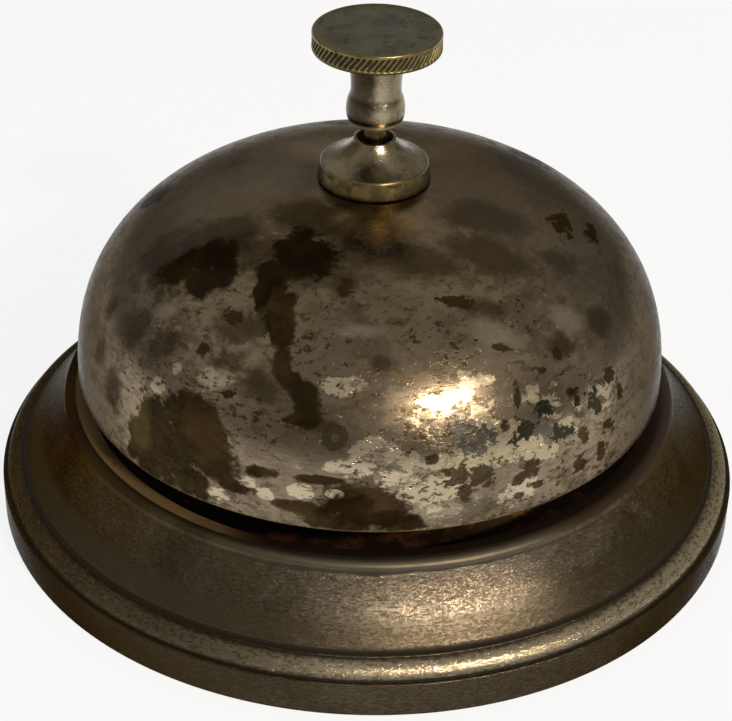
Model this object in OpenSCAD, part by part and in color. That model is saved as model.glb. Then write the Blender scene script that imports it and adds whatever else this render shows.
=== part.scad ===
// Desk bell with a push button: a domed gong over a turned and plated cast base.
// Pressing the button tips a lever inside the gong, and the lever's hammer rings it.
// Millimetres, +Z up. The origin is the middle of the foot's underside, and the
// striker points along +X.

/* [Base] */
// Diameter across the plain band of the foot
base_d = 105.6; // [102:0.1:115]
// Height of the plain band
band_h = 5.15; // [4.5:0.05:6]
// Width of the ledge between the band's face and the bead
ledge_w = 0.6; // [0.4:0.05:0.9]
// Width of the bead above the band
bead_w = 2.25; // [1.8:0.05:2.8]
// Height of the bead
bead_h = 2.15; // [1.7:0.05:2.7]
// Height of the small step above the bead
step_h = 0.25; // [0.15:0.01:0.4]
// Width and height of the cove between the step and the flare
cove = [0.75, 0.5]; // [0.4:0.05:1]
// Diameter of the lip's crest
lip_d = 84.2; // [81:0.1:88]
// Height of the lip's crest
lip_h = 17; // [16:0.1:20]
// Width and height of the lip's rounded outer edge
lip_edge = [1.3, 0.8]; // [0.5:0.1:1.6]
// Hollow of the flare, measured from its chord
flare_hollow = 0.5; // [0:0.05:0.8]
// Width of the shelf inside the lip
shelf_w = 2.2; // [1.6:0.1:3]
// Fall of that shelf towards the well
shelf_drop = 0.45; // [0.2:0.05:0.8]
// Height of the well's floor
floor_h = 10; // [9.6:0.1:11]
// Thickness of the well's floor
floor_t = 3.5; // [3:0.1:4]
// Wall of the casting under the flare
wall_t = 3.2; // [2.8:0.1:3.6]
// Width of the ring that the foot stands on
foot_w = 3.4; // [3:0.1:4]
// Diameter of the boss under the post
boss_d = 20; // [16:0.5:26]
// Height of that boss above the well's floor
boss_h = 2; // [1.5:0.1:3]

/* [Gong] */
// Outer diameter at the rim
gong_d = 82.5; // [80:0.1:84]
// Rise of the dome's curve, from the rim to where its crown would close
gong_rise = 29.2; // [28:0.1:31]
// Fullness of the dome, where 2 is an ellipse
gong_full = 2.435; // [2.2:0.005:2.6]
// Wall of the gong
gong_t = 1.6; // [1.3:0.05:1.9]
// Gap between the lip's crest and the rim
gong_gap = 3.36; // [2.8:0.02:4]
// Diameter of the flat seat on the crown
crown_flat_d = 13.2; // [12.8:0.1:14]

/* [Collar nut] */
// Diameter of the flange
flange_d = 15.36; // [14.4:0.02:16.5]
// Height of the flange's upright face
flange_h = 2.15; // [1.9:0.05:2.5]
// Narrowing of that face towards its top, on the radius
flange_taper = 0.3; // [0:0.05:0.5]
// Width and height of the flange's rounded shoulder
shoulder = [0.5, 0.6]; // [0.3:0.05:0.6]
// Height of the nut's mouth above the crown
mouth_h = 6; // [5.6:0.05:6.4]
// Outer diameter of the mouth
mouth_d = 5.8; // [5.5:0.05:6.2]
// Wall of the cup in the mouth
mouth_wall = 0.45; // [0.35:0.05:0.55]
// Depth of that cup
cup_deep = 1.8; // [1.5:0.1:2]

/* [Push button] */
// Diameter over the knurl's plain borders
button_d = 17.2; // [15:0.1:20]
// Thickness of the button
button_t = 2.75; // [2.5:0.05:3.2]
// Height of the plain border below and above the knurl
border_h = [0.4, 0.55]; // [0.35:0.05:0.7]
// Pitch of the knurl round the button
knurl_pitch = 0.8; // [0.7:0.05:1.2]
// Depth of the knurl
knurl_deep = 0.28; // [0.15:0.01:0.35]
// Lean of the knurl's ridges from upright, in degrees
knurl_lean = 38; // [25:1:45]
// Depth of the dish in the button's face
dish = 0.15; // [0.05:0.05:0.3]
// Length of the neck
neck_l = 10.8; // [9.5:0.1:12]
// Largest diameter of the neck's bead
neck_bead_d = 7.9; // [7.4:0.1:8.6]
// Diameter of the neck's waist
neck_waist_d = 6.76; // [6.4:0.02:7.2]
// Diameter of the neck under the button
neck_top_d = 8.2; // [7.4:0.1:9]
// Diameter of the flat at the foot of the neck
neck_foot_d = 4.4; // [4:0.1:4.8]
// Diameter and height of the neck's tenon in the button
tenon = [4.4, 1.3]; // [1:0.1:5]

/* [Plunger] */
// Diameter of the rod
rod_d = 3; // [2.7:0.05:3.2]
// Travel of the button
travel = 1.8; // [1.2:0.05:2]
// Room left between neck and collar nut at full travel
neck_room = 0.18; // [0.1:0.02:0.3]
// Outer diameter of the stop ring on the rod
stop_d = 5.4; // [5:0.1:5.6]
// Height of the stop ring
stop_h = 2; // [1.8:0.1:2.2]
// Diameter of the pin through the stop ring
stop_pin_d = 0.9; // [0.7:0.05:1]
// Wire of the return spring
spring_wire = 0.5; // [0.35:0.05:0.6]
// Turns of the return spring, its two closed ends included
spring_turns = 8; // [7:0.5:9]

/* [Post] */
// Diameter of the pillar
pillar_d = 9; // [8.4:0.1:9.8]
// Diameter of the shank through the base
shank_d = 6; // [5:0.1:6.2]
// Diameter of the threaded top
top_d = 7.8; // [7.6:0.05:8]
// Length of the threaded top above the crown
top_l = 2.3; // [2:0.05:2.5]
// Diameter of the flange under the gong
seat_d = 12.4; // [11:0.1:13]
// Thickness of that flange
seat_t = 1.6; // [1.2:0.1:2]
// Thickness of the washer between flange and gong
seat_washer_t = 1; // [0.6:0.1:1.4]
// Thickness of the washer under the base's floor
washer_t = 1; // [0.8:0.1:1.2]
// Diameter of that washer
washer_d = 14; // [13:0.5:18]
// Width of the nut across its flats
nut_w = 10; // [9.6:0.1:12]
// Diameter of the pocket that holds the return spring
pocket_d = 5.8; // [5.7:0.05:6]
// Length of the guide between that pocket and the slot
guide_l = 4.2; // [3.2:0.1:5.2]
// Reach of the slot below and above the pivot
slot_reach = [3.4, 2.2]; // [1.5:0.1:4]
// Room for the lever's nose in the slot, on each side
slot_room = 0.3; // [0.2:0.05:0.5]

/* [Striker] */
// Distance from the plunger's axis to the lever's pivot
pivot_x = 7.2; // [7:0.05:8]
// Depth of the pivot below the crown
pivot_drop = 15.4; // [14.8:0.1:17]
// Diameter of the pivot pin
pin_d = 2; // [1.6:0.05:2.2]
// Outer diameter of the lever's hub
hub_d = 4.4; // [4:0.1:4.8]
// Thickness of the lever
lever_t = 2; // [1.6:0.1:2.2]
// Diameter of the lever's rounded nose under the rod
nose_d = 2.4; // [2.2:0.1:2.6]
// Height of the tail behind that nose, and at the hub
tail_h = [1.4, 2.2]; // [1.2:0.1:2.4]
// Length, width and thickness of the lever's pad for the blade
pad = [9, 5.2, 1.2]; // [1:0.1:10]
// Distance from the lever's hub to that pad
pad_off = 3.8; // [3:0.1:5]
// Thickness of the spring blade
blade_t = 0.5; // [0.35:0.05:0.6]
// Width of the blade at the hammer
blade_tip_w = 3.8; // [3:0.1:4.6]
// Overhang of the blade past its first and last rivet
blade_lap = [1.8, 1.5]; // [1.2:0.1:2]
// Diameter of the rivets' shanks
rivet_d = 1.6; // [1.2:0.1:1.8]
// Height of a rivet's domed head, and of its spread end
rivet_head_h = [0.7, 0.5]; // [0.3:0.1:0.9]
// Diameter of the hammer's ball
ball_d = 7.2; // [6:0.1:8]
// Distance from the ball's middle to its flat foot
ball_foot = 2.6; // [2:0.1:3]
// Gap between ball and gong with the button held down
strike_gap = 0.6; // [0.4:0.05:1]
// Place of the strike on the dome's curve, in degrees from rim to crown
strike_at = 25; // [15:1:35]
// Height of the bracket's ring
ring_h = 4; // [3:0.1:5]
// Thickness of the bracket's ring
ring_t = 2.5; // [2:0.1:3]
// Gap between the bracket's ring and the slot above it
ring_gap = 0.2; // [0.1:0.05:0.5]
// Thickness of the bracket's ears
ear_t = 1.4; // [1:0.1:1.8]
// Wall of an ear round the pivot pin
ear_wall = 1.8; // [1.4:0.1:2.2]
// Room between an ear and the lever's web
ear_room = 1; // [0.8:0.1:1.4]
// Diameter of the screw that holds the bracket
bracket_screw_d = 2.5; // [2:0.1:3]

/* [Fit] */
// Clearance round a part that slides or turns
run_fit = 0.05; // [0.03:0.01:0.08]
// Clearance round a part that is screwed or pushed home
push_fit = 0.02; // [0.01:0.01:0.04]
// Gap between two touching parts that move apart
rest_gap = 0.12; // [0.08:0.01:0.2]

/* [Hidden] */
$fn = 96;

// Small rounding of crisp edges, and the overrun of a cut
edge = 0.2;
over = 1;

// Radii and heights of the base
base_r = base_d / 2;
lip_r = lip_d / 2;
bead_foot = [base_r - ledge_w, band_h];
bead_top = bead_foot + [-bead_w, bead_h];
step_top = bead_top + [0, step_h];
flare_foot = step_top + [-cove.x, cove.y];
flare_head = [lip_r + lip_edge.x, lip_h - lip_edge.y];
flare_dir = (flare_head - flare_foot) / norm(flare_head - flare_foot);
flare_in = [flare_dir.y, -flare_dir.x] * -1;
shelf_in = [lip_r - shelf_w, lip_h - shelf_drop];
well_r = shelf_in.x - 2 * edge;
well_corner = 1.5;
boss_z = floor_h + boss_h;
floor_z = floor_h - floor_t;
shank_hole = shank_d / 2 + 0.1;

// The gong's curve and the heights that hang from its crown
gong_r = gong_d / 2;
rim_z = lip_h + gong_gap;
crown_flat = crown_flat_d / 2;
crown_at = acos(pow(crown_flat / gong_r, gong_full / 2));
crown_z = rim_z + dome(gong_r, gong_rise, crown_at).y;
seat_z = crown_z - gong_t - seat_washer_t;
post_top = crown_z + top_l;
post_hole = top_d / 2 + 0.2;

// The collar nut's ceiling stops the plunger's ring
ceiling_z = post_top + 0.3;
mouth_z = crown_z + mouth_h;
mouth_r = mouth_d / 2;
neck_z = mouth_z + neck_room + travel;
button_z = neck_z + neck_l;
stop_z = ceiling_z - rest_gap - stop_h;

// The pivot, the rod's tip and the spring's pocket
pivot_z = crown_z - pivot_drop;
tip_z = pivot_z + nose_d / 2 + rest_gap;
slot_z = [pivot_z - slot_reach[0], pivot_z + slot_reach[1]];
slot_w = lever_t + 2 * slot_room;
pocket_z = slot_z[1] + guide_l;
nut_h = 0.65 * shank_d;
nut_z = floor_z - washer_t - nut_h;
rod_r = rod_d / 2;
neck_bore_l = 0.55 * neck_l;
pillar_r = pillar_d / 2;

// The hammer's place at full travel and at rest, seen along the pivot
strike_wall = dome(gong_r - gong_t, gong_rise - gong_t, strike_at);
strike_out = dome_normal(gong_r - gong_t, gong_rise - gong_t, strike_at);
ball_reach = strike_wall + [0, rim_z] - strike_out * (ball_d / 2 + strike_gap);
ball_arm = ball_reach - [pivot_x, pivot_z];
swing = travel / pivot_x * 180 / PI;
ball_up = pad.z / 2 + blade_t + ball_foot;
ball_x = sqrt(norm(ball_arm) * norm(ball_arm) - ball_up * ball_up);
rest_angle = atan2(ball_arm.y, ball_arm.x) - swing - asin(ball_up / norm(ball_arm));
pad_x = hub_d / 2 + pad_off;
rivet_x = [pad_x + 0.38 * pad.x, pad_x + 0.78 * pad.x];
blade_z = pad.z / 2;
ear_gap = lever_t + 2 * ear_room;
ring_z = slot_z[0] - ring_gap - ring_h;
ear_r = pin_d / 2 + ear_wall;

// Shades of the finishes
plate = [0.47, 0.44, 0.39];
iron = [0.33, 0.30, 0.26];
brass = [0.62, 0.53, 0.33];
steel = [0.52, 0.53, 0.54];
fibre = [0.36, 0.20, 0.14];

// One point of a dome's curve: t runs from 0 at the rim to 90 at the crown
function dome(r, h, t) = [r * pow(cos(t), 2 / gong_full), h * pow(sin(t), 2 / gong_full)];

// The dome's outward direction at the same point
function dome_normal(r, h, t) =
    let (v = [pow(cos(t), 2 - 2 / gong_full) / r, pow(sin(t), 2 - 2 / gong_full) / h])
    v / norm(v);

// A curve from p to q that leaves and arrives along the lines to c, without p
function curve(p, c, q, n) = [for (i = [1 : n])
    let (t = i / n) (1 - t) * (1 - t) * p + 2 * t * (1 - t) * c + t * t * q];

// A quarter round from p to q, first running upright, without p
function rise_round(p, q, n = 8) = [for (i = [1 : n])
    let (t = 90 * i / n) [q.x + (p.x - q.x) * cos(t), p.y + (q.y - p.y) * sin(t)]];

// A quarter round from p to q, first running level, without p
function level_round(p, q, n = 8) = [for (i = [1 : n])
    let (t = 90 * i / n) [p.x + (q.x - p.x) * sin(t), q.y + (p.y - q.y) * cos(t)]];

module ring(r_out, r_in, h) {
    rotate_extrude() translate([r_in, 0]) square([r_out - r_in, h]);
}

module across(d, l) {
    rotate([90, 0, 0]) cylinder(d = d, h = l, center = true);
}

// Where the lever lies at rest, with +X along its blade
module on_lever() {
    translate([pivot_x, 0, pivot_z]) rotate([0, -rest_angle, 0]) children();
}

// Turned outside, hollow underneath, with a well inside the lip
module base_casting() {
    hollow_foot = flare_foot + flare_in * wall_t;
    hollow_top = hollow_foot + flare_dir * 4.5;
    color(iron) rotate_extrude() polygon(concat(
        [[shank_hole, floor_z], [well_r + 2.4, floor_z], hollow_top, hollow_foot],
        [[base_r - foot_w, band_h - 1.2], [base_r - foot_w, 0], [base_r - 2 * edge, 0]],
        level_round([base_r - 2 * edge, 0], [base_r, 2 * edge], 3),
        [[base_r, band_h - edge]],
        rise_round([base_r, band_h - edge], [base_r - edge, band_h], 3),
        [bead_foot],
        rise_round(bead_foot, bead_top, 10),
        [step_top],
        level_round(step_top, flare_foot, 5),
        curve(flare_foot, (flare_foot + flare_head) / 2 + flare_in * flare_hollow * 2,
            flare_head, 10),
        rise_round(flare_head, [lip_r, lip_h], 6),
        [shelf_in],
        level_round(shelf_in, [well_r, shelf_in.y - 2 * edge], 3),
        [[well_r, floor_h + well_corner]],
        rise_round([well_r, floor_h + well_corner], [well_r - well_corner, floor_h], 5),
        [[boss_d / 2 + boss_h / 2, floor_h], [boss_d / 2, boss_z], [shank_hole, boss_z]]));
}

// Pillar with a shank below, a threaded top, a bore for the rod and a pocket for
// the spring, slotted on one side for the lever's nose
module center_post() {
    color(steel) difference() {
        rotate_extrude() polygon([[0, nut_z - 0.4], [shank_d / 2 - 0.5, nut_z - 0.4],
            [shank_d / 2, nut_z + 0.1], [shank_d / 2, boss_z], [pillar_r, boss_z],
            [pillar_r, seat_z - seat_t - 1], [seat_d / 2, seat_z - seat_t],
            [seat_d / 2, seat_z], [top_d / 2, seat_z], [top_d / 2, post_top - 0.4],
            [top_d / 2 - 0.4, post_top], [0, post_top]]);
        translate([0, 0, pocket_z]) cylinder(d = pocket_d, h = post_top - pocket_z + over);
        translate([0, 0, slot_z[0]]) cylinder(r = rod_r + 0.4, h = slot_z[1] - slot_z[0]);
        translate([0, 0, slot_z[0] + over])
            cylinder(r = rod_r + run_fit, h = pocket_z - slot_z[0]);
        translate([0, -slot_w / 2, slot_z[0]])
            cube([pillar_r + over, slot_w, slot_z[1] - slot_z[0]]);
    }
}

module post_washer() {
    color(steel) translate([0, 0, floor_z - washer_t])
        ring(washer_d / 2, shank_hole, washer_t);
}

// Hexagon nut with both faces chamfered
module post_nut() {
    corner = nut_w / sqrt(3);
    color(steel) translate([0, 0, nut_z]) difference() {
        intersection() {
            cylinder(r = corner, h = nut_h, $fn = 6);
            rotate_extrude() polygon([[0, 0], [nut_w / 2 - 0.1, 0], [corner + 0.1, 0.6],
                [corner + 0.1, nut_h - 0.6], [nut_w / 2 - 0.1, nut_h], [0, nut_h]]);
        }
        translate([0, 0, -over]) cylinder(r = shank_d / 2 + push_fit, h = nut_h + 2 * over);
    }
}

// Spun dome of one wall thickness, with a flat seat and a hole at the crown
module gong() {
    steps = 24;
    at = [for (i = [0 : steps]) crown_at * i / steps];
    outside = [for (t = at) dome(gong_r, gong_rise, t)];
    inside = [for (i = [0 : steps - 1])
        outside[i] - gong_t * dome_normal(gong_r, gong_rise, at[i])];
    top = outside[steps].y;
    color(plate) translate([0, 0, rim_z]) rotate_extrude() polygon(concat(
        [for (i = [steps - 1 : -1 : 1]) inside[i]],
        [[gong_r - gong_t, edge], [gong_r - gong_t + edge, 0], [gong_r - edge, 0]],
        [[gong_r, edge]],
        [for (i = [1 : steps]) outside[i]],
        [[post_hole, top], [post_hole, top - gong_t], [crown_flat, top - gong_t]]));
}

module gong_seat_washer() {
    color(fibre) translate([0, 0, seat_z]) ring(seat_d / 2, post_hole, seat_washer_t);
}

// Flanged nut that clamps the gong, with a thin cup round the rod on top
module collar_nut() {
    flange_r = flange_d / 2;
    face_top = [flange_r - flange_taper, crown_z + flange_h];
    cone_foot = face_top + [-shoulder.x, shoulder.y];
    cone_bend = [mouth_r + 1, cone_foot.y + 1.1];
    color(plate) rotate_extrude() polygon(concat(
        [[top_d / 2 + push_fit, crown_z], [flange_r - edge, crown_z]],
        [[flange_r, crown_z + edge], face_top],
        rise_round(face_top, cone_foot, 5),
        curve(cone_foot, cone_bend, [mouth_r, mouth_z - edge], 8),
        [[mouth_r - 0.1, mouth_z], [mouth_r - mouth_wall, mouth_z]],
        [[mouth_r - mouth_wall, mouth_z - cup_deep + 0.4]],
        [[mouth_r - mouth_wall - 0.4, mouth_z - cup_deep]],
        [[rod_r + run_fit, mouth_z - cup_deep], [rod_r + run_fit, ceiling_z]],
        [[top_d / 2 + push_fit, ceiling_z]]));
}

// Ring clamped on the pillar, with two ears that carry the pivot pin
module lever_bracket() {
    ring_r = pillar_r + ring_t;
    color(steel) difference() {
        union() {
            translate([0, 0, ring_z]) cylinder(r = ring_r, h = ring_h);
            for (side = [-1, 1])
                translate([0, side * (ear_gap + ear_t) / 2, 0]) rotate([90, 0, 0])
                    linear_extrude(ear_t, center = true) {
                        translate([pivot_x, pivot_z]) circle(ear_r);
                        polygon([[pillar_r - ear_t, ring_z + edge], [ring_r - edge, ring_z + edge],
                            [pivot_x + ear_r, pivot_z], [pivot_x - ear_r, pivot_z],
                            [pillar_r - ear_t, ring_z + ring_h]]);
                    }
        }
        translate([0, 0, ring_z - over]) cylinder(r = pillar_r + push_fit, h = 2 * pivot_drop);
        translate([pivot_x, 0, pivot_z]) across(pin_d + 2 * push_fit, 4 * ear_gap);
        translate([-ring_r - over, 0, ring_z + ring_h / 2]) rotate([0, 90, 0])
            cylinder(r = bracket_screw_d / 2 + push_fit, h = ring_r);
    }
}

// Headless screw that holds the bracket's ring on the pillar
module bracket_screw() {
    l = ring_t + 0.3;
    color(steel) translate([-pillar_r - l, 0, ring_z + ring_h / 2]) rotate([0, 90, 0])
        difference() {
            cylinder(d = bracket_screw_d, h = l);
            translate([0, 0, 0.35]) cube([2 * bracket_screw_d, 0.5, 0.8], center = true);
        }
}

// Headed pin, spread a little at its other end
module pivot_pin() {
    outer = ear_gap / 2 + ear_t;
    color(steel) translate([pivot_x, 0, pivot_z]) rotate([90, 0, 0]) rotate_extrude()
        polygon([[0, -outer - 0.7], [pin_d / 2, -outer - 0.7], [pin_d / 2 + 0.6, -outer - 0.3],
            [pin_d / 2 + 0.6, -outer], [pin_d / 2, -outer], [pin_d / 2, outer],
            [pin_d / 2 + 0.3, outer], [pin_d / 2, outer + 0.5], [0, outer + 0.5]]);
}

// Coil between the pocket's floor and the stop ring, its wire swept as one tube
module return_spring() {
    sides = 8;
    per_turn = 20;
    mean_r = (pocket_d / 2 + rod_r) / 2;
    wire_r = spring_wire / 2;
    low = pocket_z + wire_r + push_fit;
    high = stop_z - wire_r - push_fit;
    closed = 1.1 * spring_wire;
    pitch = (high - low - 2 * closed) / (spring_turns - 2);
    function lift(u) = u < 1 ? low + closed * u : u > spring_turns - 1
        ? high - closed * (spring_turns - u) : low + closed + pitch * (u - 1);
    n = per_turn * spring_turns;
    points = [for (i = [0 : n]) for (j = [0 : sides - 1])
        let (a = 360 * i / per_turn, b = 360 * j / sides, r = mean_r + wire_r * cos(b))
        [r * cos(a), r * sin(a), lift(i / per_turn) + wire_r * sin(b)]];
    walls = [for (i = [0 : n - 1]) for (j = [0 : sides - 1])
        let (k = (j + 1) % sides, a = i * sides)
        [a + j, a + k, a + sides + k, a + sides + j]];
    ends = [[for (j = [sides - 1 : -1 : 0]) j], [for (j = [0 : sides - 1]) n * sides + j]];
    color(steel) polyhedron(points, concat(walls, ends), convexity = 10);
}

// Rod from the lever's nose up into the neck, cross-drilled for the stop pin
module plunger_rod() {
    color(brass) difference() {
        rotate_extrude() polygon([[0, tip_z], [rod_r - 0.3, tip_z], [rod_r, tip_z + 0.3],
            [rod_r, neck_z + neck_bore_l - 0.3], [0, neck_z + neck_bore_l - 0.3]]);
        translate([0, 0, stop_z + stop_h / 2]) across(stop_pin_d + 2 * push_fit, 2 * rod_d);
    }
}

module plunger_stop() {
    color(steel) difference() {
        translate([0, 0, stop_z]) ring(stop_d / 2, rod_r + push_fit, stop_h);
        translate([0, 0, stop_z + stop_h / 2]) across(stop_pin_d + 2 * push_fit, 2 * stop_d);
    }
}

module stop_pin() {
    color(steel) translate([0, 0, stop_z + stop_h / 2]) across(stop_pin_d, stop_d - 0.2);
}

// Turned neck: a bead over the collar nut, a waist, and a tenon into the button
module button_neck() {
    foot = [neck_foot_d / 2, neck_z];
    bead = [neck_bead_d / 2, neck_z + 0.2 * neck_l];
    hip = [(neck_bead_d + neck_waist_d) / 4, neck_z + 0.37 * neck_l];
    waist = [neck_waist_d / 2, neck_z + 0.49 * neck_l];
    head = [neck_top_d / 2, button_z];
    color(plate) difference() {
        rotate_extrude() polygon(concat(
            [[0, neck_z], foot],
            curve(foot, [bead.x, foot.y + 0.1], bead, 8),
            curve(bead, [bead.x, (bead.y + hip.y) / 2], hip, 5),
            curve(hip, [waist.x, (hip.y + waist.y) / 2], waist, 5),
            curve(waist, [waist.x, (waist.y + head.y) / 2], head, 8),
            [[tenon[0] / 2, button_z], [tenon[0] / 2, button_z + tenon[1]],
                [0, button_z + tenon[1]]]));
        translate([0, 0, neck_z - over])
            cylinder(r = rod_r + push_fit, h = neck_bore_l + over);
    }
}

// The knurl's core: one V-shaped ridge to each pitch, leaning round the button
module knurl(r, h) {
    teeth = round(PI * 2 * r / knurl_pitch);
    linear_extrude(h, twist = -h * tan(knurl_lean) / r * 180 / PI, slices = 4)
        polygon([for (i = [0 : teeth - 1]) for (crest = [[0.15, 0], [0.5, 1], [0.85, 0]])
            let (a = 360 * (i + crest[0]) / teeth, d = r - knurl_deep * crest[1])
            d * [cos(a), sin(a)]]);
}

// Thick disc with a dished face, knurled between two plain borders
module push_button() {
    r = button_d / 2;
    low = border_h[0];
    high = button_t - border_h[1];
    round_h = 0.9 * border_h[1];
    color(brass) translate([0, 0, button_z]) difference() {
        union() {
            rotate_extrude() polygon([[0, 0], [r - 0.3, 0], [r, 0.25], [r, low], [0, low]]);
            translate([0, 0, low / 2]) knurl(r - 0.04, high - low + border_h[1] / 2);
            rotate_extrude() polygon(concat([[0, high], [r, high], [r, button_t - round_h]],
                rise_round([r, button_t - round_h], [r - round_h, button_t], 6),
                curve([r - round_h, button_t], [r - round_h - 0.3, button_t - dish],
                    [r - 2.2, button_t - dish], 4),
                [[0, button_t - dish]]));
        }
        translate([0, 0, -over])
            cylinder(r = tenon[0] / 2 + push_fit, h = over + tenon[1] + push_fit);
    }
}

// Bell crank: nose under the rod, hub on the pin, and a pad that carries the blade
module striker_lever() {
    nose = pivot_x * [-cos(rest_angle), sin(rest_angle)];
    up = [sin(rest_angle), cos(rest_angle)];
    side = 0.36 * hub_d;
    color(steel) on_lever() difference() {
        union() {
            rotate([90, 0, 0]) linear_extrude(lever_t, center = true) {
                polygon([nose + up * tail_h[0] / 2, nose - up * tail_h[0] / 2,
                    -up * tail_h[1] / 2, up * tail_h[1] / 2]);
                translate(nose) circle(d = nose_d);
                polygon([[0, -side], [pad_x + pad.z, -pad.z / 2], [pad_x + pad.z, pad.z / 2],
                    [0, side]]);
            }
            across(hub_d, ear_gap - 2 * run_fit);
            translate([pad_x, -pad.y / 2, -pad.z / 2]) cube(pad);
        }
        across(pin_d + 2 * run_fit, 2 * ear_gap);
        for (x = rivet_x) translate([x, 0, -pad.z])
            cylinder(r = rivet_d / 2 + push_fit, h = 2 * pad.z);
    }
}

// Flat spring strip, narrowed towards the hammer, with round ends
module striker_blade() {
    back = rivet_x[0] - blade_lap[0];
    front = rivet_x[1] + blade_lap[1];
    tip_r = blade_tip_w / 2;
    color(steel) on_lever() difference() {
        translate([0, 0, blade_z]) linear_extrude(blade_t) {
            polygon([[back, -pad.y / 2], [front, -pad.y / 2], [ball_x, -tip_r],
                [ball_x, tip_r], [front, pad.y / 2], [back, pad.y / 2]]);
            translate([ball_x, 0]) circle(tip_r);
        }
        for (x = concat(rivet_x, ball_x))
            translate([x, 0, 0]) cylinder(r = rivet_d / 2 + push_fit, h = pad.x);
    }
}

// Two domed rivets that hold the blade on the pad
module blade_rivets() {
    grip = pad.z + blade_t;
    head = rivet_d * 0.85;
    color(brass) on_lever() for (x = rivet_x)
        translate([x, 0, -pad.z / 2]) rotate_extrude() polygon(concat(
            [[0, -rivet_head_h[1]], [head * 0.7, -rivet_head_h[1]], [head, 0]],
            [[rivet_d / 2, 0], [rivet_d / 2, grip], [head, grip]],
            rise_round([head, grip], [0, grip + rivet_head_h[0]], 5)));
}

// Turned ball with a flat foot on the blade, drilled for its rivet
module hammer_head() {
    r = ball_d / 2;
    low = -asin(ball_foot / r);
    steps = 20;
    color(brass) on_lever() translate([ball_x, 0, ball_up]) difference() {
        rotate_extrude() polygon(concat([[0, -ball_foot]],
            [for (i = [0 : steps]) let (t = low + (90 - low) * i / steps)
                r * [cos(t), sin(t)]]));
        translate([0, 0, -r]) cylinder(r = rivet_d / 2 + push_fit, h = r);
    }
}

module hammer_rivet() {
    head = rivet_d * 0.85;
    tip = blade_t + ball_foot - edge;
    color(brass) on_lever() translate([ball_x, 0, blade_z]) rotate_extrude() polygon([
        [0, -rivet_head_h[1]], [head * 0.7, -rivet_head_h[1]], [head, 0],
        [rivet_d / 2, 0], [rivet_d / 2, tip], [0, tip]]);
}

base_casting();
center_post();
post_washer();
post_nut();
gong();
gong_seat_washer();
collar_nut();
lever_bracket();
bracket_screw();
pivot_pin();
return_spring();
plunger_rod();
plunger_stop();
stop_pin();
button_neck();
push_button();
striker_lever();
striker_blade();
blade_rivets();
hammer_head();
hammer_rivet();
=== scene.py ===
import math

import bmesh
import bpy
from mathutils import Matrix, Vector


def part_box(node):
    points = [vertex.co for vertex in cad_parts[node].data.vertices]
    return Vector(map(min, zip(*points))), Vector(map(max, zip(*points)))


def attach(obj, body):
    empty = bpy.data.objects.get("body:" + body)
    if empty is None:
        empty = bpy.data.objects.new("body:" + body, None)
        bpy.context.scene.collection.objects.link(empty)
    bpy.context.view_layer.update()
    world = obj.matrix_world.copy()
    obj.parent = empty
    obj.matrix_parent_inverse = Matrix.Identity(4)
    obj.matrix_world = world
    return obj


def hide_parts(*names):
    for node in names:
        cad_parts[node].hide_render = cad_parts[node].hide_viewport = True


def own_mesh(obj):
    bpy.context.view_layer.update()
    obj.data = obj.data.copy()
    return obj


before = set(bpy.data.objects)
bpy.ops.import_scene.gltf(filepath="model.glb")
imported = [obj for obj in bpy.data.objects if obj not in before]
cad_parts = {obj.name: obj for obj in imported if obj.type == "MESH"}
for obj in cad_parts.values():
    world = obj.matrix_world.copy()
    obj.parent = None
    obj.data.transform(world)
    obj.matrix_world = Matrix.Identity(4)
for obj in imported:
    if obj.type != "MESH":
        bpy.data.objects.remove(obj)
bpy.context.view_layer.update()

# Millimetres and degrees, as in the part's source, unless a comment says metres
MM = 0.001

# The gong: rim radius, rim height, rise, fullness of its curve, wall, seat, bore and top
GONG_R = 41.25
RIM_Z = 20.36
RISE = 29.2
FULLNESS = 2.435
GONG_WALL = 1.6
SEAT_R = 6.6
POST_HOLE_R = 4.1
CROWN_Z = 49.4212

# The base: foot, band, bead, flare, lip, well, boss and the post's hole
FOOT_R = 52.8
FOOT_INSIDE_R = 49.4
BAND_TOP_Z = 5.15
BEAD_TOP = (49.95, 7.3)
FLARE_FOOT = (49.2, 8.05)
FLARE_PULL = (46.3 - 0.8147, 12.125 - 0.5798)
FLARE_HEAD = (43.4, 16.2)
LIP_TOP = (42.1, 17.0)
WELL_R = 39.5
WELL_Z = 10.0
BOSS_TOP_Z = 12.0
UNDERSIDE_Z = 6.5
POST_SHANK_R = 3.1

# The push button: radius, underside, thickness, plain borders, dish, rounding, neck's socket
BUTTON_R = 8.6
BUTTON_Z = 68.2012
BUTTON_T = 2.75
BORDERS = (0.4, 0.55)
DISH = 0.15
BUTTON_EDGE = 0.45
SOCKET_R = 2.22
SOCKET_DEEP = 1.32
KNURL_PITCH = 0.8
KNURL_DEEP = 0.28
KNURL_LEAN = 38.0
KNURL_ROWS = 9
KNURL_RUN_IN = 0.09

# The neck's foot and the rod that it holds
NECK_Z = 57.4012
ROD_R = 1.52

# The collar nut: mouth, cup's wall, flange, its rounding, thread, rod's hole
MOUTH_Z = 55.4212
MOUTH_R = 2.9
CUP_WALL = 0.45
FLANGE_R = 7.68
FLANGE_EDGE = 0.3
THREAD_R = 3.92
ROD_HOLE_R = 1.55

# Dents in the collar's flange: turn from the front, height over the crown, reach, depth
DENTS = ((19, 2.0, 0.55, 0.28), (-53, 1.7, 0.5, 0.2), (-60, 1.9, 0.42, 0.18), (38, 2.2, 0.35, 0.1))

# The return spring
SPRING_WIRE = 0.5
SPRING_TURNS = 8

# Points of one piece that are nearer than this, in metres, become one point
MERGE = 1e-7

# Facets round each piece
STEPS = 192
COLLAR_STEPS = 240
NECK_STEPS = 128
FACETS_PER_TOOTH = 12

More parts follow.
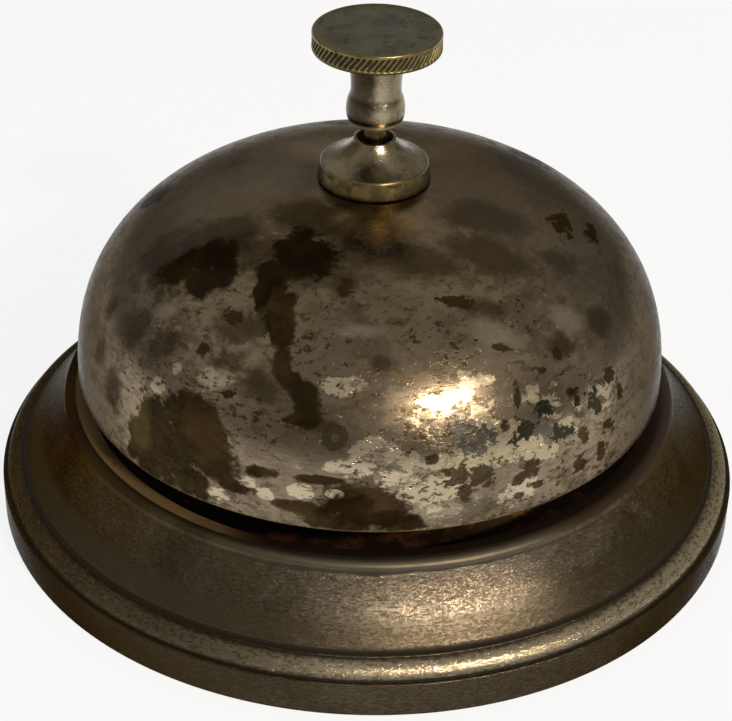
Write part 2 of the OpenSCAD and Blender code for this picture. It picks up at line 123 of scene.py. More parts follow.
# The camera, fitted to the photograph, with its place in metres
PITCH = 32.753
YAW = 0.094
ROLL = 1.401
LENS = 102.65
SENSOR = 36
CAMERA_PLACE = (0, -0.25103, 0.18122)

# The lamp, in metres and watts
LAMP_PLACE = (0.41, -0.69, 0.58)
LAMP_AIM = (0, 0, 0.03)
LAMP_SIZE = (0.17, 0.05)
LAMP_POWER = 6.5
LAMP_COLOUR = (1.0, 0.88, 0.75)


# Profiles, as (radius, height) points

def dome(radius, rise, turn):
    """One point of the gong's curve, from 0 degrees at the rim to 90 at the crown."""
    turn = math.radians(turn)
    return (radius * math.cos(turn) ** (2 / FULLNESS), rise * math.sin(turn) ** (2 / FULLNESS))


def dome_out(radius, rise, turn):
    """The outward direction of the gong's curve at the same point."""
    turn = math.radians(turn)
    power = 2 - 2 / FULLNESS
    out = Vector((math.cos(turn) ** power / radius, math.sin(turn) ** power / rise))
    return out.normalized()


def curve(start, pull, end, count):
    """A curve from start to end that leaves and arrives along the lines to pull."""
    points = []
    for i in range(1, count + 1):
        t = i / count
        points.append(tuple((1 - t) ** 2 * a + 2 * t * (1 - t) * c + t * t * b
                            for a, c, b in zip(start, pull, end)))
    return points


def rise_round(start, end, count):
    """A quarter round that first runs upright."""
    points = []
    for i in range(1, count + 1):
        turn = math.pi / 2 * i / count
        points.append((end[0] + (start[0] - end[0]) * math.cos(turn),
                       start[1] + (end[1] - start[1]) * math.sin(turn)))
    return points


def level_round(start, end, count):
    """A quarter round that first runs level."""
    points = []
    for i in range(1, count + 1):
        turn = math.pi / 2 * i / count
        points.append((start[0] + (end[0] - start[0]) * math.sin(turn),
                       end[1] + (start[1] - end[1]) * math.cos(turn)))
    return points


def between_points(a, b, count):
    """Points that part the line from a to b evenly, without its ends."""
    return [tuple(p + (q - p) * (i / (count + 1)) for p, q in zip(a, b))
            for i in range(1, count + 1)]


# Turned pieces

def finish_piece(bm, name, body, slot, finish, *nodes):
    """Makes the mesh a smooth piece that rides on its body and stands for its nodes."""
    bmesh.ops.remove_doubles(bm, verts=bm.verts, dist=MERGE)
    bmesh.ops.recalc_face_normals(bm, faces=bm.faces)
    mesh = bpy.data.meshes.new(name)
    bm.to_mesh(mesh)
    bm.free()
    mesh.shade_smooth()
    mesh.materials.append(finish)
    piece = bpy.data.objects.new(name, mesh)
    bpy.context.scene.collection.objects.link(piece)
    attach(piece, body)
    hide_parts(*nodes)
    return piece


def turned(profile, steps=STEPS):
    """A closed profile spun once round the axis."""
    bm = bmesh.new()
    points = [bm.verts.new((r * MM, 0, z * MM)) for r, z in profile]
    for a, b in zip(points, points[1:] + points[:1]):
        bm.edges.new((a, b))
    bmesh.ops.spin(bm, geom=bm.verts[:] + bm.edges[:], axis=(0, 0, 1), cent=(0, 0, 0),
                   angle=2 * math.pi, steps=steps, use_merge=True)
    bmesh.ops.remove_doubles(bm, verts=bm.verts, dist=MERGE)
    return bm


def dent(bm, place, reach, push):
    """Moves the surface near a place, most at its middle."""
    place = Vector(place) * MM
    for vert in bm.verts:
        share = (vert.co - place).length / (reach * MM)
        if share < 1:
            vert.co += Vector(push) * MM * (1 - share * share) ** 2


def round_at(turn, radius, height):
    """The point at this turn from the front, in degrees towards +X."""
    turn = math.radians(turn)
    return (radius * math.sin(turn), -radius * math.cos(turn), height)


def gong_profile():
    """The dome with a wall of one thickness, a rounded rim and a flat seat at the top."""
    count = 60
    inner_edge, outer_edge = 0.25, 0.22
    flat_turn = math.degrees(math.acos((SEAT_R / GONG_R) ** (FULLNESS / 2)))
    turns = [flat_turn * (i / count) for i in range(count + 1)]
    outside = [dome(GONG_R, RISE, t) for t in turns]
    inside = []
    for (r, z), t in zip(outside, turns):
        out = dome_out(GONG_R, RISE, t)
        inside.append((r - GONG_WALL * out[0], z - GONG_WALL * out[1]))
    top = outside[-1][1]
    wall_in = GONG_R - GONG_WALL
    profile = [(wall_in, inner_edge)]
    profile += rise_round(profile[0], (wall_in + inner_edge, 0), 4)
    profile += [(GONG_R - outer_edge, 0)]
    profile += level_round(profile[-1], (GONG_R, outer_edge), 4)
    profile += outside[1:] + [(POST_HOLE_R, top), (POST_HOLE_R, top - GONG_WALL)]
    profile += [(SEAT_R, top - GONG_WALL)] + inside[count - 1:0:-1]
    return [(r, z + RIM_Z) for r, z in profile]


def base_profile():
    """From the hole's lower end: underside, foot, band, bead, flare, lip, well and boss."""
    bead_foot = (52.2, BAND_TOP_Z)
    step_top = (BEAD_TOP[0], 7.55)
    profile = [(POST_SHANK_R, UNDERSIDE_Z), (41.9, UNDERSIDE_Z), (43.98, 9.86), (46.59, 6.2)]
    profile += [(FOOT_INSIDE_R, 3.95), (FOOT_INSIDE_R, 0.15), (49.55, 0), (52.4, 0)]
    profile += level_round(profile[-1], (FOOT_R, 0.4), 5) + [(FOOT_R, 4.9)]
    profile += rise_round(profile[-1], (52.55, BAND_TOP_Z), 5)
    profile += [(52.32, BAND_TOP_Z), (52.24, 5.1), bead_foot]
    profile += rise_round(bead_foot, BEAD_TOP, 16) + [(49.86, 7.31), (49.86, 7.5), step_top]
    profile += level_round(step_top, FLARE_FOOT, 8)
    profile += curve(FLARE_FOOT, FLARE_PULL, FLARE_HEAD, 22)
    profile += rise_round(FLARE_HEAD, LIP_TOP, 10) + [(39.9, 16.55)]
    profile += level_round(profile[-1], (WELL_R, 16.15), 5) + [(WELL_R, 11.5)]
    profile += rise_round(profile[-1], (38.0, WELL_Z), 8)
    profile += [(11.0, WELL_Z), (10.2, 11.8), (10.0, BOSS_TOP_Z), (POST_SHANK_R, BOSS_TOP_Z)]
    return profile


def collar_profile():
    """The flange, its cone and the cup round the rod, over the thread of the post."""
    face_top = (FLANGE_R - FLANGE_EDGE, CROWN_Z + 2.15)
    cone_foot = (FLANGE_R - 0.8, CROWN_Z + 2.75)
    cone_bend = (MOUTH_R + 1, cone_foot[1] + 1.1)
    inside_r = MOUTH_R - CUP_WALL
    thread_top_z = 52.0212
    profile = [(THREAD_R, CROWN_Z), (FLANGE_R - FLANGE_EDGE, CROWN_Z)]
    profile += level_round(profile[-1], (FLANGE_R, CROWN_Z + FLANGE_EDGE), 4)
    profile += between_points(profile[-1], face_top, 5) + [face_top]
    profile += rise_round(face_top, cone_foot, 8)
    profile += curve(cone_foot, cone_bend, (MOUTH_R, MOUTH_Z - 0.2), 22)
    profile += [(MOUTH_R - 0.04, MOUTH_Z - 0.05), (MOUTH_R - 0.15, MOUTH_Z)]
    profile += [(inside_r + 0.08, MOUTH_Z), (inside_r, MOUTH_Z - 0.1)]
    profile += [(inside_r, MOUTH_Z - 1.4), (inside_r - 0.12, MOUTH_Z - 1.68)]
    profile += [(inside_r - 0.4, MOUTH_Z - 1.8), (ROD_HOLE_R, MOUTH_Z - 1.8)]
    profile += [(ROD_HOLE_R, thread_top_z), (THREAD_R, thread_top_z)]
    return profile


def dented_collar():
    """The collar nut with the dents that the photograph shows at its flange."""
    bm = turned(collar_profile(), COLLAR_STEPS)
    for turn, above, reach, deep in DENTS:
        inward = Vector(round_at(turn, -deep, 0))
        dent(bm, round_at(turn, FLANGE_R, CROWN_Z + above), reach, inward)
    return bm


def neck_profile():
    """Foot, bead, waist and flare, up to the tip that the button holds."""
    tip_r, tip_z = 2.2, BUTTON_Z + 1.3
    hole_top_z = NECK_Z + 5.94
    foot = (2.2, NECK_Z)
    bead = (3.95, NECK_Z + 2.16)
    hip = (3.665, NECK_Z + 3.996)
    waist = (3.38, NECK_Z + 5.292)
    head = (4.1, BUTTON_Z)
    profile = [(ROD_R, NECK_Z), foot]
    profile += curve(foot, (bead[0], foot[1] + 0.1), bead, 16)
    profile += curve(bead, (bead[0], (bead[1] + hip[1]) / 2), hip, 10)
    profile += curve(hip, (waist[0], (hip[1] + waist[1]) / 2), waist, 10)
    profile += curve(waist, (waist[0], (waist[1] + head[1]) / 2), head, 18)
    profile += [(tip_r, BUTTON_Z), (tip_r, tip_z), (0.0, tip_z)]
    profile += [(0.0, hole_top_z), (ROD_R, hole_top_z)]
    return profile


# The knurled button

def groove(share):
    """Depth of the knurl at a share of its pitch: narrow cuts between flat ridges."""
    half_width, slope = 0.36, 0.22
    away = abs(share - 0.5)
    return max(0.0, min(1.0, (half_width - away) / slope))


def next_ring(bm, ring, height, radius_of, twist=0.0):
    """Extrudes an open ring of edges, turns it and sets its radius and height."""
    grown = bmesh.ops.extrude_edge_only(bm, edges=ring)["geom"]
    for vert in grown:
        if isinstance(vert, bmesh.types.BMVert):
            turn = math.atan2(vert.co.y, vert.co.x) + twist
            radius = radius_of(turn) * MM
            vert.co = (radius * math.cos(turn), radius * math.sin(turn), height * MM)
    return [e for e in grown if isinstance(e, bmesh.types.BMEdge) and e.is_boundary]


def round_rings(bm, ring, profile):
    """Carries an open ring of edges on through each (radius, height) of a profile."""
    for radius, height in profile:
        ring = next_ring(bm, ring, height, lambda turn, r=radius: r)
    return ring


def push_button():
    """Built upwards in rings: socket, underside, knurl, rounded edge and dished face."""
    teeth = round(2 * math.pi * BUTTON_R / KNURL_PITCH)
    low = BUTTON_Z + BORDERS[0]
    high = BUTTON_Z + BUTTON_T - BORDERS[1]
    top = BUTTON_Z + BUTTON_T
    face_z = top - DISH
    lower_edge = 0.25
    socket_top = Matrix.Translation((0, 0, (BUTTON_Z + SOCKET_DEEP) * MM))
    bm = bmesh.new()
    made = bmesh.ops.create_circle(bm, segments=teeth * FACETS_PER_TOOTH, radius=SOCKET_R * MM,
                                   matrix=socket_top)
    bmesh.ops.contextual_create(bm, geom=made["verts"])
    underside = [(SOCKET_R, BUTTON_Z), (BUTTON_R - lower_edge, BUTTON_Z)]
    underside += level_round(underside[-1], (BUTTON_R, BUTTON_Z + lower_edge), 4)
    ring = round_rings(bm, bm.edges[:], underside + [(BUTTON_R, low)])

    crest_r = BUTTON_R - 0.03
    knurl_height = high - low - 2 * KNURL_RUN_IN
    twist = knurl_height / KNURL_ROWS * math.tan(math.radians(KNURL_LEAN)) / BUTTON_R
    for row in range(KNURL_ROWS + 1):
        depth = KNURL_DEEP * (0.75 if row in (0, KNURL_ROWS) else 1.0)
        height = low + KNURL_RUN_IN + knurl_height * row / KNURL_ROWS
        step = twist if row else 0.0
        done = twist * row

        def knurled(turn):
            share = ((turn - done) * teeth / (2 * math.pi)) % 1.0
            return crest_r - depth * groove(share)

        ring = next_ring(bm, ring, height, knurled, step)

    upper = [(BUTTON_R, high), (BUTTON_R, top - BUTTON_EDGE)]
    upper += rise_round(upper[-1], (BUTTON_R - BUTTON_EDGE, top), 7)
    upper += curve((BUTTON_R - BUTTON_EDGE, top), (BUTTON_R - BUTTON_EDGE - 0.3, face_z),
                   (BUTTON_R - 1.6, face_z), 8)
    upper += [(r, face_z) for r in (6.2, 5.2, 4.2, 3.2, 2.2, 1.2, 0.4, 0.0)]
    round_rings(bm, ring, upper)
    return bm


# The coil in the post

def spring_coil(low, high):
    """Round wire that fills a box's height, with a closed turn at each end."""
    wire_r = SPRING_WIRE * MM / 2
    closed_rise = 2.2 * wire_r
    open_turns = SPRING_TURNS - 2
    open_rise = (high[2] - low[2] - 2 * wire_r - 2 * closed_rise) / open_turns
    steps = 36
    start = Matrix.Translation((high[0] - wire_r, 0, low[2] + wire_r))
    bm = bmesh.new()
    bmesh.ops.create_circle(bm, segments=12, radius=wire_r,
                            matrix=start @ Matrix.Rotation(math.pi / 2, 4, "X"))
    end = bm.verts[:] + bm.edges[:]
    for turns, rise in ((1, closed_rise), (open_turns, open_rise), (1, closed_rise)):
        end = bmesh.ops.spin(bm, geom=end, axis=(0, 0, 1), cent=(0, 0, 0),
                             dvec=(0, 0, rise / steps), angle=2 * math.pi * turns,
                             steps=steps * turns)["geom_last"]
    bmesh.ops.holes_fill(bm, edges=[edge for edge in bm.edges if edge.is_boundary])
    return bm


# Node trees

def shade(red, green, blue):
    """A colour as it looks on a screen, from 0 to 255 each."""
    def plain(level):
        level /= 255
        return level / 12.92 if level <= 0.04045 else ((level + 0.055) / 1.055) ** 2.4
    return (plain(red), plain(green), plain(blue), 1.0)


class Nodes:
    """Adds nodes to one tree. add and vector give the node, use its outputs, the rest one."""

    def __init__(self, tree):
        self.tree = tree

    def plug(self, node, inputs):
        """Links an output to each input of a node, or sets the input's value."""
        for key, value in inputs.items():
            if isinstance(value, bpy.types.NodeSocket):
                self.tree.links.new(value, node.inputs[key])
            else:
                node.inputs[key].default_value = value

    def add(self, kind, inputs=None, **settings):
        made = self.tree.nodes.new(kind)
        for name, value in settings.items():
            setattr(made, name, value)
        self.plug(made, inputs or {})
        return made

    def use(self, group, **inputs):
        return self.add("ShaderNodeGroup", inputs, node_tree=group).outputs

    def calc(self, operation, *values, clamp=False):
        made = self.add("ShaderNodeMath", dict(enumerate(values)), operation=operation,
                        use_clamp=clamp)
        return made.outputs[0]

    def vector(self, operation, inputs):
        """A sum with vectors."""
        return self.add("ShaderNodeVectorMath", inputs, operation=operation)

    def fold(self, operation, values):
        """Works through several values with one operation, two at a time."""
        result = values[0]
        for value in values[1:]:
            result = self.calc(operation, result, value)
        return result

    def times(self, *values):
        return self.fold("MULTIPLY", values)

    def most(self, *values):
        """The greatest of several values."""
        return self.fold("MAXIMUM", values)

    def plus(self, first, second):
        return self.calc("ADD", first, second)

    def minus(self, first, second):
        return self.calc("SUBTRACT", first, second)

    def level(self, value, low, high, to_low=0.0, to_high=1.0, smooth=True):
        """Spreads low..high over to_low..to_high, and holds it there outside."""
        made = self.add("ShaderNodeMapRange",
                        {0: value, 1: low, 2: high, 3: to_low, 4: to_high},
                        interpolation_type="SMOOTHSTEP" if smooth else "LINEAR")
        return made.outputs[0]

    def blend(self, share, under, over):
        return self.add("ShaderNodeMix", {0: share, 6: under, 7: over},
                        data_type="RGBA").outputs[2]

    def ramp(self, value, low, high, tone, other):
        """Goes from one tone to the other as the value goes from low to high."""
        return self.blend(self.level(value, low, high), shade(*tone), shade(*other))

    def tint(self, colour, mask, share, tone):
        """Lays a tone over a colour where the mask is, at this share of its strength."""
        return self.blend(self.times(mask, share), colour, shade(*tone))

    def noise(self, vector, scale, detail, rough, bend=0.0):
        made = self.add("ShaderNodeTexNoise", {"Vector": vector, "Scale": scale, "Detail": detail,
                                               "Roughness": rough, "Distortion": bend})
        return made.outputs[0]

    def stretch(self, vector, size):
        return self.add("ShaderNodeMapping", {"Vector": vector, "Scale": size}).outputs[0]


ORIGIN = (0.0, 0.0, 0.0)


def effect(name, inputs, outputs):
    """A shader node group. Its inputs and outputs are named, with their usual values."""
    group = bpy.data.node_groups.new(name, "ShaderNodeTree")
    for way, labels in (("INPUT", inputs), ("OUTPUT", outputs)):
        for label, usual in labels.items():
            kind = "NodeSocketVector" if isinstance(usual, tuple) else "NodeSocketFloat"
            socket = group.interface.new_socket(label, in_out=way, socket_type=kind)
            socket.default_value = usual
    nodes = Nodes(group)
    given = group.nodes.new("NodeGroupInput").outputs
    result = group.nodes.new("NodeGroupOutput").inputs

    def give(**sockets):
        for label, socket in sockets.items():
            group.links.new(socket, result[label])

    return group, nodes, given, give


def turned_place():
    """Where a point lies on a turned piece: round it, and in millimetres out and up."""
    group, n, given, give = effect("turned place", {"Vector": ORIGIN},
                                   {"Around": ORIGIN, "Out": 0.0, "Up": 0.0})
    parts = n.add("ShaderNodeSeparateXYZ", {0: given["Vector"]}).outputs
    radius = n.calc("SQRT", n.plus(n.times(parts[0], parts[0]), n.times(parts[1], parts[1])))
    around = n.add("ShaderNodeCombineXYZ", {0: n.calc("DIVIDE", parts[0], radius),
                                            1: n.calc("DIVIDE", parts[1], radius), 2: 0.0})
    give(Around=around.outputs[0], Out=n.times(radius, 1000.0), Up=n.times(parts[2], 1000.0))
    return group


def lathe_marks():
    """Fine lines that run round a turned piece, broken up along their length."""
    group, n, given, give = effect(
        "lathe marks", {"Around": ORIGIN, "Out": 0.0, "Up": 0.0, "Breaks": 3.0, "Lines": 6.0},
        {"Marks": 0.0})
    along = n.times(n.minus(given["Up"], given["Out"]), given["Lines"])
    round_it = n.vector("SCALE", {0: given["Around"], "Scale": given["Breaks"]}).outputs[0]
    parts = n.add("ShaderNodeSeparateXYZ", {0: round_it}).outputs
    place = n.add("ShaderNodeCombineXYZ", {0: parts[0], 1: parts[1], 2: along}).outputs[0]
    give(Marks=n.noise(place, 1.0, 4.0, 0.65))
    return group


def patch():
    """How far inside one rounded patch a point lies: 1 at its middle, 0 at its edge."""
    group, n, given, give = effect(
        "patch", {"Vector": ORIGIN, "Centre": ORIGIN, "Size": (1.0, 1.0, 1.0)}, {"Field": 0.0})
    away = n.vector("SUBTRACT", {0: given["Vector"], 1: given["Centre"]}).outputs[0]
    local = n.vector("DIVIDE", {0: away, 1: given["Size"]}).outputs[0]
    length = n.vector("LENGTH", {0: local}).outputs["Value"]
    give(Field=n.minus(1.0, length))
    return group


def freckles():
    """Irregular spots of one size that cover about a share of the surface."""
    group, n, given, give = effect(
        "freckles",
        {"Vector": ORIGIN, "Scale": 500.0, "Cover": 0.3, "Soft": 0.03, "Bend": 0.0},
        {"Mask": 0.0})
    spots = n.noise(given["Vector"], given["Scale"], 4.0, 0.6, given["Bend"])
    edge = n.level(given["Cover"], 0.0, 1.0, 0.72, 0.30, smooth=False)
    give(Mask=n.level(spots, n.minus(edge, given["Soft"]), n.plus(edge, given["Soft"])))
    return group


def pits():
    """Small round pits of many sizes."""
    group, n, given, give = effect(
        "pits", {"Vector": ORIGIN, "Scale": 600.0, "Size": 0.3, "Share": 0.5}, {"Mask": 0.0})
    cells = n.add("ShaderNodeTexVoronoi", {"Vector": given["Vector"], "Scale": given["Scale"]})
    chance = n.add("ShaderNodeSeparateColor", {0: cells.outputs["Color"]}).outputs
    reach = n.times(given["Size"],
                    n.level(chance[0], n.minus(1.0, given["Share"]), 1.0, smooth=False))
    give(Mask=n.level(cells.outputs["Distance"], n.times(reach, 0.6), reach, 1.0, 0.0))
    return group


def flakes():
    """Flaked plating: islands with a thin dark line round them."""
    group, n, given, give = effect(
        "flakes", {"Vector": ORIGIN, "Scale": 300.0, "Cover": 0.5, "Line": 0.02},
        {"Islands": 0.0, "Outline": 0.0})
    field = n.noise(given["Vector"], given["Scale"], 3.0, 0.5, 0.6)
    edge = n.level(given["Cover"], 0.0, 1.0, 0.72, 0.30, smooth=False)
    past = n.minus(field, edge)
    islands = n.level(past, -0.006, 0.006)
    line = given["Line"]
    outline = n.level(n.calc("ABSOLUTE", past), n.times(line, 0.4), line, 1.0, 0.0)
    give(Islands=islands, Outline=outline)
    return group


def belt():
    """A band between two values, with soft edges."""
    group, n, given, give = effect(
        "belt", {"Value": 0.0, "From": 0.0, "To": 1.0, "Soft": 0.1}, {"Mask": 0.0})
    value, soft = given["Value"], given["Soft"]
    above = n.level(value, n.minus(given["From"], soft), n.plus(given["From"], soft))
    below = n.level(value, n.minus(given["To"], soft), n.plus(given["To"], soft), 1.0, 0.0)
    give(Mask=n.times(above, below))
    return group


PLACE = turned_place()
MARKS = lathe_marks()
PATCH = patch()
FRECKLES = freckles()
PITS = pits()
FLAKES = flakes()
BELT = belt()


def freckled(n, vector, scale, cover, soft, bend=0.0):
    """The mask of freckles of one size."""
    return n.use(FRECKLES, Vector=vector, Scale=scale, Cover=cover, Soft=soft, Bend=bend)["Mask"]


def between(n, value, low, high, soft):
    """The mask of a band between two values, with soft edges."""
    return n.use(BELT, Value=value, From=low, To=high, Soft=soft)["Mask"]


def side_of(n, at):
    """From -1 at a turned piece's left to 1 at its right."""
    return n.add("ShaderNodeSeparateXYZ", {0: at["Around"]}).outputs[0]


def start_finish(name):
    """A new material with its nodes, its shader and the object's own coordinates."""
    material = bpy.data.materials.new(name)
    material.use_nodes = True
    tree = material.node_tree
    shader = tree.nodes["Principled BSDF"]
    n = Nodes(tree)
    place = n.add("ShaderNodeTexCoord").outputs["Object"]
    return material, n, shader, place


def start_turned(name, breaks, lines):
    """The same for a turned piece, with where its points lie and its lathe marks."""
    material, n, shader, place = start_finish(name)
    at = n.use(PLACE, Vector=place)
    marks = n.use(MARKS, Around=at["Around"], Out=at["Out"], Up=at["Up"],
                  Breaks=breaks, Lines=lines)["Marks"]
    return material, n, shader, place, at, marks


def set_finish(n, shader, colour, rough, metal, height, deep, strength):
    """Plugs a finish into its shader. The relief is as deep as stated, in metres."""
    bump = n.add("ShaderNodeBump", {"Strength": strength, "Distance": deep, "Height": height})
    n.plug(shader, {"Base Color": colour, "Roughness": rough, "Metallic": metal,
                    "Normal": bump.outputs[0]})


# Where the gong's stains lie

def on_dome(turn, height):
    """The point of the gong's outside at this turn from the front and this height."""
    share = (height - RIM_Z) / RISE
    radius = GONG_R * (1 - share ** FULLNESS) ** (1 / FULLNESS)
    return Vector(round_at(turn, radius, height)) * MM


def patches(n, place, ragged, rows, soft=0.08):
    """The mask of several patches of the gong, with one ragged edge.

    Each row is a patch: its turn from the front, height, half width and half height.
    """
    run_together = 0.25
    field = None
    for turn, height, wide, high in rows:
        beside = abs(math.sin(math.radians(turn))) > 0.9
        size = (high, wide, high) if beside else (wide, high, high)
        one = n.use(PATCH, Vector=place, Centre=tuple(on_dome(turn, height)),
                    Size=tuple(MM * reach for reach in size))["Field"]
        field = one if field is None else n.calc("SMOOTH_MAX", field, one, run_together)
    return n.level(n.plus(field, ragged), -soft, soft)


def torn_place(n, place):
    """Each point's nearest middle of small, jittered cells, so that flakes have torn edges."""
    cells, jitter, jitter_scale = 900.0, 0.0024, 1100.0
    bend = n.add("ShaderNodeTexNoise", {"Vector": place, "Scale": jitter_scale, "Detail": 3.0})
    bend = n.vector("SUBTRACT", {0: bend.outputs["Color"], 1: (0.5, 0.5, 0.5)}).outputs[0]
    bend = n.vector("SCALE", {0: bend, "Scale": jitter}).outputs[0]
    bent = n.vector("ADD", {0: place, 1: bend}).outputs[0]
    return n.add("ShaderNodeTexVoronoi", {"Vector": bent, "Scale": cells}).outputs["Position"]


BLACK_STAINS = (
    (-48, 43.8, 4.4, 2.4), (-46, 45, 1.6, 3.8), (-58, 43.2, 4.2, 2.6), (-56, 44.8, 4.2, 2.4),
    (-26, 47.4, 4.8, 4.4), (-32, 46, 1.9, 2.4), (-31, 44.8, 1.1, 2.2),
    (-3, 24, 3.6, 2.2), (2, 22.6, 4.4, 1.4),
    (128, 44, 4.4, 3.2), (205, 40.5, 2.6, 3.6), (168, 31, 4.4, 2.4), (190, 46.6, 3.2, 2.2))

BROWN_STAINS = (
    (-29, 45, 2, 2), (-25, 44.2, 2.3, 2), (-22, 43.2, 2, 1.9), (-20, 41.9, 1.7, 1.8),
    (-19, 40.5, 1.6, 1.7), (-18, 39.2, 1.5, 1.6), (-16, 38.3, 1.7, 1.4), (-13, 37.4, 2, 1.5),
    (-12, 36.2, 1.6, 1.5), (-11, 35, 1.5, 1.2), (-13, 34.6, 2.8, 0.6), (-48, 22.6, 1.6, 1.4),
    (-45, 21.8, 2, 1.4), (-42, 21.8, 2.4, 1.6), (-38, 21.6, 2.6, 1.5), (-34.5, 21.5, 2.4, 1.2),
    (-31, 21.4, 2, 0.9), (-40.5, 27.6, 2.6, 2.6), (-42, 24.4, 2.8, 1.8), (-36, 23.6, 2.6, 1.6),
    (-36, 31.4, 6, 2.8), (-44, 29.2, 3.8, 2.6), (-33, 28.9, 5.2, 3),
    (-45, 25.6, 3.8, 3), (-38, 25.4, 4.8, 2.4), (-28, 27, 4.6, 2.2), (-19, 27.5, 3.6, 1),
    (-24, 24.5, 4.8, 1.1), (-33, 23.2, 4, 1.6), (-40, 22.6, 3.6, 1.6), (-9, 27.7, 4.3, 0.6),
    (-12, 23.6, 5, 0.9), (-1, 24.6, 5.4, 2.9), (4, 23.6, 3, 3), (-4, 22.2, 5.4, 1.8),
    (6, 22, 3, 1.4), (134, 41, 2.4, 4), (168, 31, 7, 3.6), (205, 39.5, 3.4, 5.2),
    (199, 35, 1.8, 4), (236, 27, 6.5, 3.2), (110, 28.5, 3.6, 2.2), (150, 23.5, 6.4, 1.8),
    (258, 42, 3.4, 2.6), (268, 23.8, 5.4, 2))

SMALL_STAINS = (
    (-34, 42.3, 1.1, 1), (-8, 46, 1, 1.2), (24, 44.7, 2.7, 0.8), (30, 40.6, 1.9, 0.5),
    (42.5, 38.4, 0.8, 0.7), (53.5, 33.3, 1.3, 0.9), (37, 37.5, 0.9, 0.4), (50.5, 27.4, 1.6, 0.8),
    (43, 28, 1.2, 1.3), (42, 24.2, 1.1, 1.2), (31, 26.4, 1.9, 1.1), (28, 25.7, 1, 0.8),
    (16, 28, 2.1, 1.4), (20.5, 27.4, 2, 1.7), (17.5, 25.6, 1.2, 1.2), (11.3, 30.6, 0.8, 0.7),
    (32, 24, 1, 0.6), (30, 35.7, 0.5, 1.7), (48, 24.2, 0.7, 1.3), (26, 33, 0.6, 0.7),
    (55.5, 30.6, 0.6, 1.1), (42, 34, 1.7, 0.6), (-37, 38.8, 0.7, 0.7), (-28, 35.5, 1.3, 0.5),
    (28.5, 23.3, 1.9, 0.5), (79.7, 45.3, 2.6, 1.4), (83.3, 43, 2.2, 1.2), (154, 38, 2.2, 1.2),
    (210, 31, 2.6, 1.4))

CLOUDS = (
    (-60, 43.4, 5.4, 4.6), (-52, 45.6, 5.8, 3.6), (-38, 47, 5.8, 3), (-24, 46.8, 6, 4),
    (-47, 37.4, 4.6, 2.4), (-56, 37, 3.2, 3.2), (-68, 36.1, 1.2, 1.6), (-23, 37.9, 1.9, 1.5),
    (-9, 46.3, 2, 2.6), (-28.5, 42.1, 2.4, 1.6), (-20.5, 37, 2.4, 1.6), (58.5, 38.7, 1.8, 2.1),
    (-33, 41.4, 3.6, 2.4), (-31, 38.6, 2.6, 1.6), (-64.5, 31, 1.4, 1.6), (3, 40.5, 1.6, 1.1),
    (-10, 34.3, 2.8, 0.7), (44, 46.7, 7, 3.8), (62, 44, 3.4, 2.4),
    (60, 48.2, 5.6, 3.8), (20, 47.2, 5.6, 3),
    (30, 44, 4, 1.4), (44, 39, 3, 1.4), (120, 38, 6, 4), (165, 41, 6.4, 3.6),
    (245, 35, 5, 3.4), (-140, 44, 6, 3.4))

SMOKED = (
    (-42, 48.8, 5, 4), (-29, 48.6, 4.2, 3.4), (-60, 45.6, 7.5, 4.2), (-66, 43, 4.8, 4),
    (-58, 47, 4, 3), (-56, 28.8, 1.6, 3), (-20, 47, 3.4, 2.2), (124, 45.6, 6, 3.6),
    (196, 46, 6.4, 3))

LIGHTER = (
    (-103, 48.5, 8, 5), (-94, 46.6, 7, 5), (-128, 48.8, 7, 5), (-2, 43.2, 3, 0.9),
    (30, 41.8, 3.2, 1.6), (-52, 40, 3.4, 1.2), (50, 40.6, 3.4, 1.6))

WARM_PATCHES = ((-4, 48.9, 5.4, 3), (9, 48.8, 3.6, 2.6))

OLIVE_PATCHES = ((-46, 27.3, 1.3, 3.3), (-16, 44.1, 1.8, 1.5))

RING_OUTSIDE = ((-6, 33.2, 1.6, 1.9),)
RING_INSIDE = ((-6, 33.1, 0.5, 0.6),)

PALE_PATCHES = (
    (-32, 36.9, 3.4, 1.5), (-41, 36, 0.9, 1), (-44, 33.1, 1.5, 1), (-27, 22.6, 2.4, 1),
    (-21.5, 25.7, 1.5, 0.9), (-18, 24.7, 1.3, 0.9), (-12, 25.8, 2.3, 1.1), (-5.5, 25.9, 1.3, 0.7),
    (12, 26.2, 4.6, 2), (14, 23.3, 2.8, 1.2), (5.5, 28.4, 3, 1.6), (-3, 29.4, 3.3, 1.1),
    (2, 31.3, 3.7, 1.8), (28, 23.8, 3.8, 2), (-5, 38.6, 3, 1.1),
    (142, 34.5, 5, 3), (222, 33, 5.2, 3.4), (182, 26.5, 4.6, 2.2))

FLAKED_AREAS = (
    (17, 33.6, 5, 3.4), (27, 32, 6, 4), (38, 31.6, 5.4, 3.4), (50, 32, 2.8, 2.4),
    (12, 28, 4, 3.4), (136, 33.8, 6, 3.4), (216, 36, 5.4, 3))

GREY_FLAKES = (
    (17.5, 33.6, 1.2, 1.9), (22, 32.4, 2.6, 1.2), (19.5, 31.1, 1.9, 1.2), (34, 31.4, 1.4, 1.3),
    (138, 34.4, 2.6, 1.3))

DARK_FLAKES = (
    (35, 33.4, 1.6, 1.2), (31, 32, 1.1, 1.5), (28, 30.8, 1, 1.2), (38, 29.8, 1.9, 1.3),
    (37, 31.3, 1, 0.9), (47, 32.6, 2.3, 1.1), (42.5, 33.4, 2, 0.9), (48.5, 31, 0.8, 1.3),
    (50.5, 27.4, 1.7, 1), (131, 32.6, 1.9, 1.5), (218, 36.2, 2.4, 1.2))

